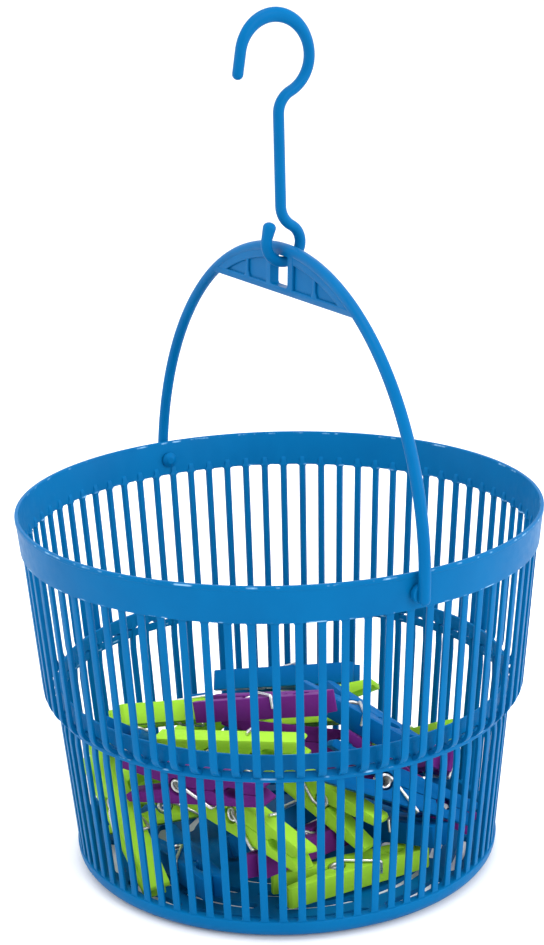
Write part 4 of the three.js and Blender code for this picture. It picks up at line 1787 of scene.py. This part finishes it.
class HeapDrop:
    """Lets pegs fall straight down on the heap, in the tilt that brings them lowest.

    Attributes:
        clearance: How far above the heap a peg comes to rest, in metres.
        spacing: About how far apart the tested points are, in metres.
        start: The height that pegs fall from, in metres.
        middle: How far a peg's middle is from its coil, in metres.
        reach: How far from a peg's place the heap is tested, in metres.
        coarse: The tilts that are tried first, in degrees.
        fine: The changes to the best of them that are tried next, in degrees.
    """

    clearance: float = 0.3 * MM
    spacing: float = 2.0 * MM
    start: float = 0.2
    middle: float = 8.5 * MM
    reach: float = 48.0 * MM
    coarse: tuple[int, ...] = (-24, -12, 0, 12, 24)
    fine: tuple[int, ...] = (-6, -3, 0, 3, 6)

    def __init__(self, basket: SlattedBasket) -> None:
        """Start with the empty basket.

        Args:
            basket: The basket that the heap lies in.
        """
        self.basket = basket
        self.points: list[Vector] = []
        self.faces: list[list[int]] = []
        self.spots: list[Vector] = []

    def add(self, mesh: bpy.types.Mesh, place: Matrix = Matrix()) -> None:
        """Add a piece that falling pegs come to rest on.

        Args:
            mesh: The piece's mesh.
            place: A turn to apply to it first.
        """
        first = len(self.points)
        self.points += [place @ v.co for v in mesh.vertices]
        self.faces += [[first + i for i in face.vertices] for face in mesh.polygons]
        self.spots += [place @ spot for spot in self._sampled(mesh)]

    def rest(self, peg: LoosePeg, patterns: Sequence[bpy.types.Object]) -> Matrix | None:
        """Find where a peg comes to rest.

        Args:
            peg: The peg.
            patterns: The lower lever, the upper lever and the spring.

        Returns:
            The peg's place and turn, or None where it doesn't fit.
        """
        heap = BVHTree.FromPolygons(self.points, self.faces)
        view = Matrix.Rotation(math.radians(VIEW_TURN), 3, "Z")
        under = view @ Vector((*peg.place, 0.0)) * MM
        near = [spot for spot in self.spots if (spot - under).xy.length < self.reach]
        spots = [spot for pattern in patterns for spot in self._sampled(pattern.data)]
        corners: list[Vector] = []
        faces: list[list[int]] = []
        for pattern in patterns:
            faces += [[len(corners) + i for i in face.vertices] for face in pattern.data.polygons]
            corners += [v.co for v in pattern.data.vertices]
        best = (math.inf, None, (0, 0))
        for steps in (self.coarse, self.fine):
            _, _, (pitch, roll) = best
            for more_pitch in steps:
                for more_roll in steps:
                    tilt = (pitch + more_pitch, roll + more_roll)
                    height, frame = self._dropped(peg, tilt, heap, near, spots, corners, faces)
                    if height < best[0]:
                        best = (height, frame, tilt)
        return best[1]

    def _dropped(
        self,
        peg: LoosePeg,
        tilt: Pair,
        heap: BVHTree,
        near: Sequence[Vector],
        spots: Sequence[Vector],
        corners: Sequence[Vector],
        faces: Sequence[Sequence[int]],
    ) -> tuple[float, Matrix | None]:
        """Drop a peg in one tilt.

        Args:
            peg: The peg.
            tilt: Its pitch and its roll, in degrees.
            heap: The heap so far.
            near: Points of the heap under the peg.
            spots: Points all over the peg's pattern.
            corners: The pattern's corners.
            faces: The pattern's faces.

        Returns:
            The height of the peg's middle and its place, or an endless height where it meets the wall.
        """
        view = Matrix.Rotation(math.radians(VIEW_TURN), 4, "Z")
        heading = Matrix.Rotation(math.radians(peg.heading), 4, "Z")
        spin = heading @ Matrix.Rotation(math.radians(tilt[0]), 4, "Y")
        lying = Matrix.Rotation(math.radians(peg.lying + tilt[1]), 4, "X")
        above = Matrix.Translation((peg.place[0] * MM, peg.place[1] * MM, self.start))
        frame = view @ above @ spin @ lying @ Matrix.Translation((-self.middle, 0.0, 0.0))
        held = [frame @ spot for spot in spots]
        tree = BVHTree.FromPolygons([frame @ corner for corner in corners], faces)
        down = Vector((0.0, 0.0, -1.0))
        fall = min(spot.z for spot in held) - self.basket.floor_thickness * MM
        for spot in held:
            distance = heap.ray_cast(spot, down)[3]
            if distance is not None:
                fall = min(fall, distance)
        low = Vector((min(s.x for s in held), min(s.y for s in held)))
        high = Vector((max(s.x for s in held), max(s.y for s in held)))
        for spot in near:
            if low.x < spot.x < high.x and low.y < spot.y < high.y:
                distance = tree.ray_cast(spot, -down)[3]
                if distance is not None:
                    fall = min(fall, distance)
        fall -= self.clearance
        for spot in held:
            if math.hypot(spot.x, spot.y) > self.basket.room((spot.z - fall) / MM) * MM:
                return math.inf, None
        return self.start - fall, Matrix.Translation(down * fall) @ frame

    def _sampled(self, mesh: bpy.types.Mesh) -> list[Vector]:
        """Return points along a mesh's edges, thinned to about one in each cell of the spacing.

        Args:
            mesh: The mesh.

        Returns:
            The points.
        """
        spots = [v.co.copy() for v in mesh.vertices]
        for edge in mesh.edges:
            start, end = (mesh.vertices[i].co for i in edge.vertices)
            count = int((end - start).length / self.spacing)
            spots += [start.lerp(end, (k + 1) / (count + 1)) for k in range(count)]
        cells = {tuple(round(c / self.spacing) for c in spot): spot for spot in spots}
        return list(cells.values())


def peg_frame(joint: dict, lower: bpy.types.Object, upper: bpy.types.Object) -> Matrix:
    """Find a peg's place and turn from its joint and its two levers.

    Args:
        joint: The peg's hinge in the record.
        lower: The lower lever's solid.
        upper: The upper lever's solid.

    Returns:
        The matrix from the peg's own frame to the part's.
    """
    middle = Vector(joint["pos_m"])
    across = -Vector(joint["axis"]).normalized()

    def nose(lever: bpy.types.Object) -> Vector:
        """Return the lever's point that is furthest from the hinge's axis, from the hinge."""
        flat = [v.co - middle - across * (v.co - middle).dot(across) for v in lever.data.vertices]
        return max(flat, key=lambda spot: spot.length)

    up = (nose(upper) - nose(lower)).normalized()
    ahead = across.cross(up)
    turn = Matrix((ahead, across, up)).transposed().to_4x4()
    return Matrix.Translation(middle) @ turn


@dataclass(frozen=True)
class Lamp:
    """A soft square lamp that faces the basket.

    Attributes:
        name: The lamp's name.
        place: Where it stands in the viewer's frame, in metres.
        size: Its side, in metres.
        power: Its power in watts.
    """

    name: str
    place: Triple
    size: float
    power: float


@dataclass
class Studio:
    """The pale floor, the soft lights and the camera.

    The camera's place and the floor's sizes are in millimetres, other places in metres and angles in
    degrees.
    """

    # Camera
    turn: float = VIEW_TURN
    camera_place: Triple = (7.55, -910.70, 447.24)
    pitch: float = 16.19
    yaw: float = -0.65
    roll: float = -1.459
    focal_pixels: float = 2089.0
    picture_height_pixels: float = 945.0
    sensor: float = 36.0
    nearest: float = 0.01

    # Floor
    floor_reach: float = 14000.0
    floor_depth: float = 20.0
    floor_colour: Colour = (0.9, 0.9, 0.9, 1.0)
    floor_roughness: float = 0.7
    floor_gloss: float = 0.15

    # Lights
    sky_colour: Colour = (1.0, 1.0, 1.0, 1.0)
    sky_strength: float = 1.28
    sun_place: Triple = (0.7, -0.85, 0.5)
    sun_strength: float = 1.25
    sun_width: float = 32.0
    lamp_aim: Triple = (0.0, 0.0, 0.13)
    lamps: tuple[Lamp, ...] = (
        Lamp("side", (1.3, 0.1, 0.45), 0.5, 6.0),
        Lamp("far_side", (-1.3, 0.1, 0.5), 0.6, 5.0),
        Lamp("above", (0.0, -0.1, 1.5), 0.7, 9.0),
        Lamp("back", (-0.2, 1.2, 1.1), 1.2, 3.0),
    )

    def build(self) -> None:
        """Make the floor, the lights, the world and the camera."""
        self._floor()
        self._world()
        facing = Matrix.Rotation(math.radians(self.turn), 4, "Z")
        self._sun(facing @ Vector(self.sun_place))
        for lamp in self.lamps:
            self._light(lamp, facing @ Vector(lamp.place))
        self._camera(facing)
        bpy.context.scene.view_settings.view_transform = "Standard"

    def _floor(self) -> None:
        """Make the pale floor."""
        reach = self.floor_reach
        floor = block("floor", (-reach, -reach, -self.floor_depth), (reach, reach, 0.0))
        material = bpy.data.materials.new("pale_floor")
        material.use_nodes = True
        shader = material.node_tree.nodes["Principled BSDF"]
        shader.inputs["Base Color"].default_value = self.floor_colour
        shader.inputs["Roughness"].default_value = self.floor_roughness
        shader.inputs["Specular IOR Level"].default_value = self.floor_gloss
        dressed(floor, material)

    def _world(self) -> None:
        """Fill the surroundings with even white light."""
        world = bpy.data.worlds.new("white_room")
        bpy.context.scene.world = world
        world.use_nodes = True
        sky = world.node_tree.nodes["Background"]
        sky.inputs["Color"].default_value = self.sky_colour
        sky.inputs["Strength"].default_value = self.sky_strength

    def _sun(self, place: Vector) -> None:
        """Add the wide soft light that comes from the viewer's side.

        Args:
            place: A point that the light comes from.
        """
        data = bpy.data.lights.new("viewer_side", "SUN")
        data.energy = self.sun_strength
        data.angle = math.radians(self.sun_width)
        lamp = bpy.data.objects.new("viewer_side", data)
        bpy.context.scene.collection.objects.link(lamp)
        lamp.matrix_world = (-place).to_track_quat("-Z", "Y").to_matrix().to_4x4()

    def _light(self, lamp: Lamp, place: Vector) -> None:
        """Add a lamp.

        Args:
            lamp: The lamp.
            place: Where it stands in the part's frame.
        """
        data = bpy.data.lights.new(lamp.name, "AREA")
        data.shape = "SQUARE"
        data.size = lamp.size
        data.energy = lamp.power
        light = bpy.data.objects.new(lamp.name, data)
        bpy.context.scene.collection.objects.link(light)
        aim = Vector(self.lamp_aim) - place
        turn = aim.to_track_quat("-Z", "Y").to_matrix().to_4x4()
        light.matrix_world = Matrix.Translation(place) @ turn

    def _camera(self, facing: Matrix) -> None:
        """Add the camera at the photograph's viewing angle.

        Args:
            facing: The turn from the viewer's frame to the part's.
        """
        pitch, yaw, roll = (math.radians(a) for a in (self.pitch, self.yaw, self.roll))
        ahead = Vector((math.sin(yaw) * math.cos(pitch), math.cos(yaw) * math.cos(pitch), -math.sin(pitch)))
        level = Vector((math.cos(yaw), -math.sin(yaw), 0.0))
        above = level.cross(ahead)
        right = level * math.cos(roll) + above * math.sin(roll)
        up = above * math.cos(roll) - level * math.sin(roll)
        data = bpy.data.cameras.new("photo_view")
        data.sensor_fit = "VERTICAL"
        data.sensor_height = self.sensor
        data.lens = self.focal_pixels / self.picture_height_pixels * self.sensor
        data.clip_start = self.nearest
        camera = bpy.data.objects.new("photo_view", data)
        bpy.context.scene.collection.objects.link(camera)
        basis = Matrix((right, up, -ahead)).transposed().to_4x4()
        camera.matrix_world = facing @ Matrix.Translation(Vector(self.camera_place) * MM) @ basis
        bpy.context.scene.camera = camera


BASKET_BLUE = MouldedPlastic(
    "basket_blue",
    linear(0, 93, 147),
    linear(0, 86, 139),
    roughness=0.4,
    # Painted highlights fleck the rim's lip, the rim's lower edge and the ledge
    flash_highlight_heights=(169.3, 153.6, 79.6),
)
HANDLE_BLUE = MouldedPlastic("handle_blue", linear(0, 92, 147), linear(0, 84, 138), roughness=0.36)
PEG_PLASTICS = {
    PegColour.BLUE: MouldedPlastic(
        "peg_blue", linear(0, 94, 156), linear(0, 82, 142), roughness=0.42
    ),
    PegColour.GREEN: MouldedPlastic(
        "peg_green", linear(158, 212, 58), linear(144, 200, 54), roughness=0.46
    ),
    PegColour.PURPLE: MouldedPlastic(
        "peg_purple", linear(104, 38, 118), linear(86, 26, 102), roughness=0.44
    ),
}
LOOSE_PEGS = (
    LoosePeg(PegColour.PURPLE, (70.0, 4.0), -86.0),
    LoosePeg(PegColour.BLUE, (-68.0, -10.0), 78.0),
    LoosePeg(PegColour.GREEN, (-46.0, 22.0), 24.0),
    LoosePeg(PegColour.BLUE, (2.0, 58.0), -24.0),
    LoosePeg(PegColour.GREEN, (64.0, 34.0), -66.0),
    LoosePeg(PegColour.BLUE, (36.0, -10.0), -55.0),
    LoosePeg(PegColour.PURPLE, (-8.0, -8.0), -36.0),
)
SPRING_STEEL = BrightWire("spring_steel", (0.74, 0.73, 0.7, 1.0), roughness=0.3)


def build_pegs(frame: dict, trees: NodeTrees) -> None:
    """Make every peg of the heap where the part's solids lie.

    Args:
        trees: The Geometry Nodes trees.
    """
    plastics = {colour: finish.make() for colour, finish in PEG_PLASTICS.items()}
    peg = SpringPeg(materials=plastics, steel=SPRING_STEEL.make())
    patterns = peg.build_patterns(trees)
    heap = HeapDrop(SlattedBasket())
    slots = {part["node"]: part["material_slot"] for part in frame["record"]["subparts"]}
    for joint in frame["joints"]:
        if not joint["name"].endswith("_squeeze"):
            continue
        label = joint["name"].removesuffix("_squeeze")
        lower = frame["nodes"][f"{label}_lever_a"]
        upper = frame["nodes"][f"{label}_lever_b"]
        colour = PegColour(slots[f"{label}_lever_a"])
        place = peg_frame(joint, lower, upper)
        for piece in peg.place(label, colour, place, patterns, joint["parent"]):
            heap.add(piece.data)
        # The upper lever's open place counts as taken, so that loose pegs leave it room to move
        opened = Matrix.Rotation(-math.radians(joint["range_deg"][1]), 4, "Y")
        heap.add(patterns[1].data, place @ opened)
        LOG.info("placed %s in %s", label, colour.name.lower())
    for number, loose in enumerate(LOOSE_PEGS, 1):
        place = heap.rest(loose, patterns)
        if place is None:
            LOG.warning("no room for loose peg %d", number)
            continue
        for piece in peg.lie(f"loose_peg_{number:02d}", loose.colour, place, patterns, "basket"):
            heap.add(piece.data)
        LOG.info("dropped loose peg %d to %.1f mm", number, place.translation.z / MM)
    for pattern in patterns:
        discard(pattern)


def main() -> None:
    """Build the peg basket piece by piece."""
    logging.basicConfig(level=logging.INFO, format="%(message)s")
    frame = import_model()
    trees = NodeTrees()
    blue = HANDLE_BLUE.make()
    basket = SlattedBasket().build(trees, BASKET_BLUE.make())
    swing = SwingHandle()
    handle = swing.build(blue)
    hook = HangHook(swing).build(blue)
    for piece, node in ((basket, "basket"), (handle, "handle"), (hook, "hook")):
        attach(piece, node)
        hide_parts(node)
        LOG.info("built %s with %d faces", piece.name, len(piece.data.polygons))
    build_pegs(frame, trees)
    Studio().build()


if __name__ == "__main__":
    main()
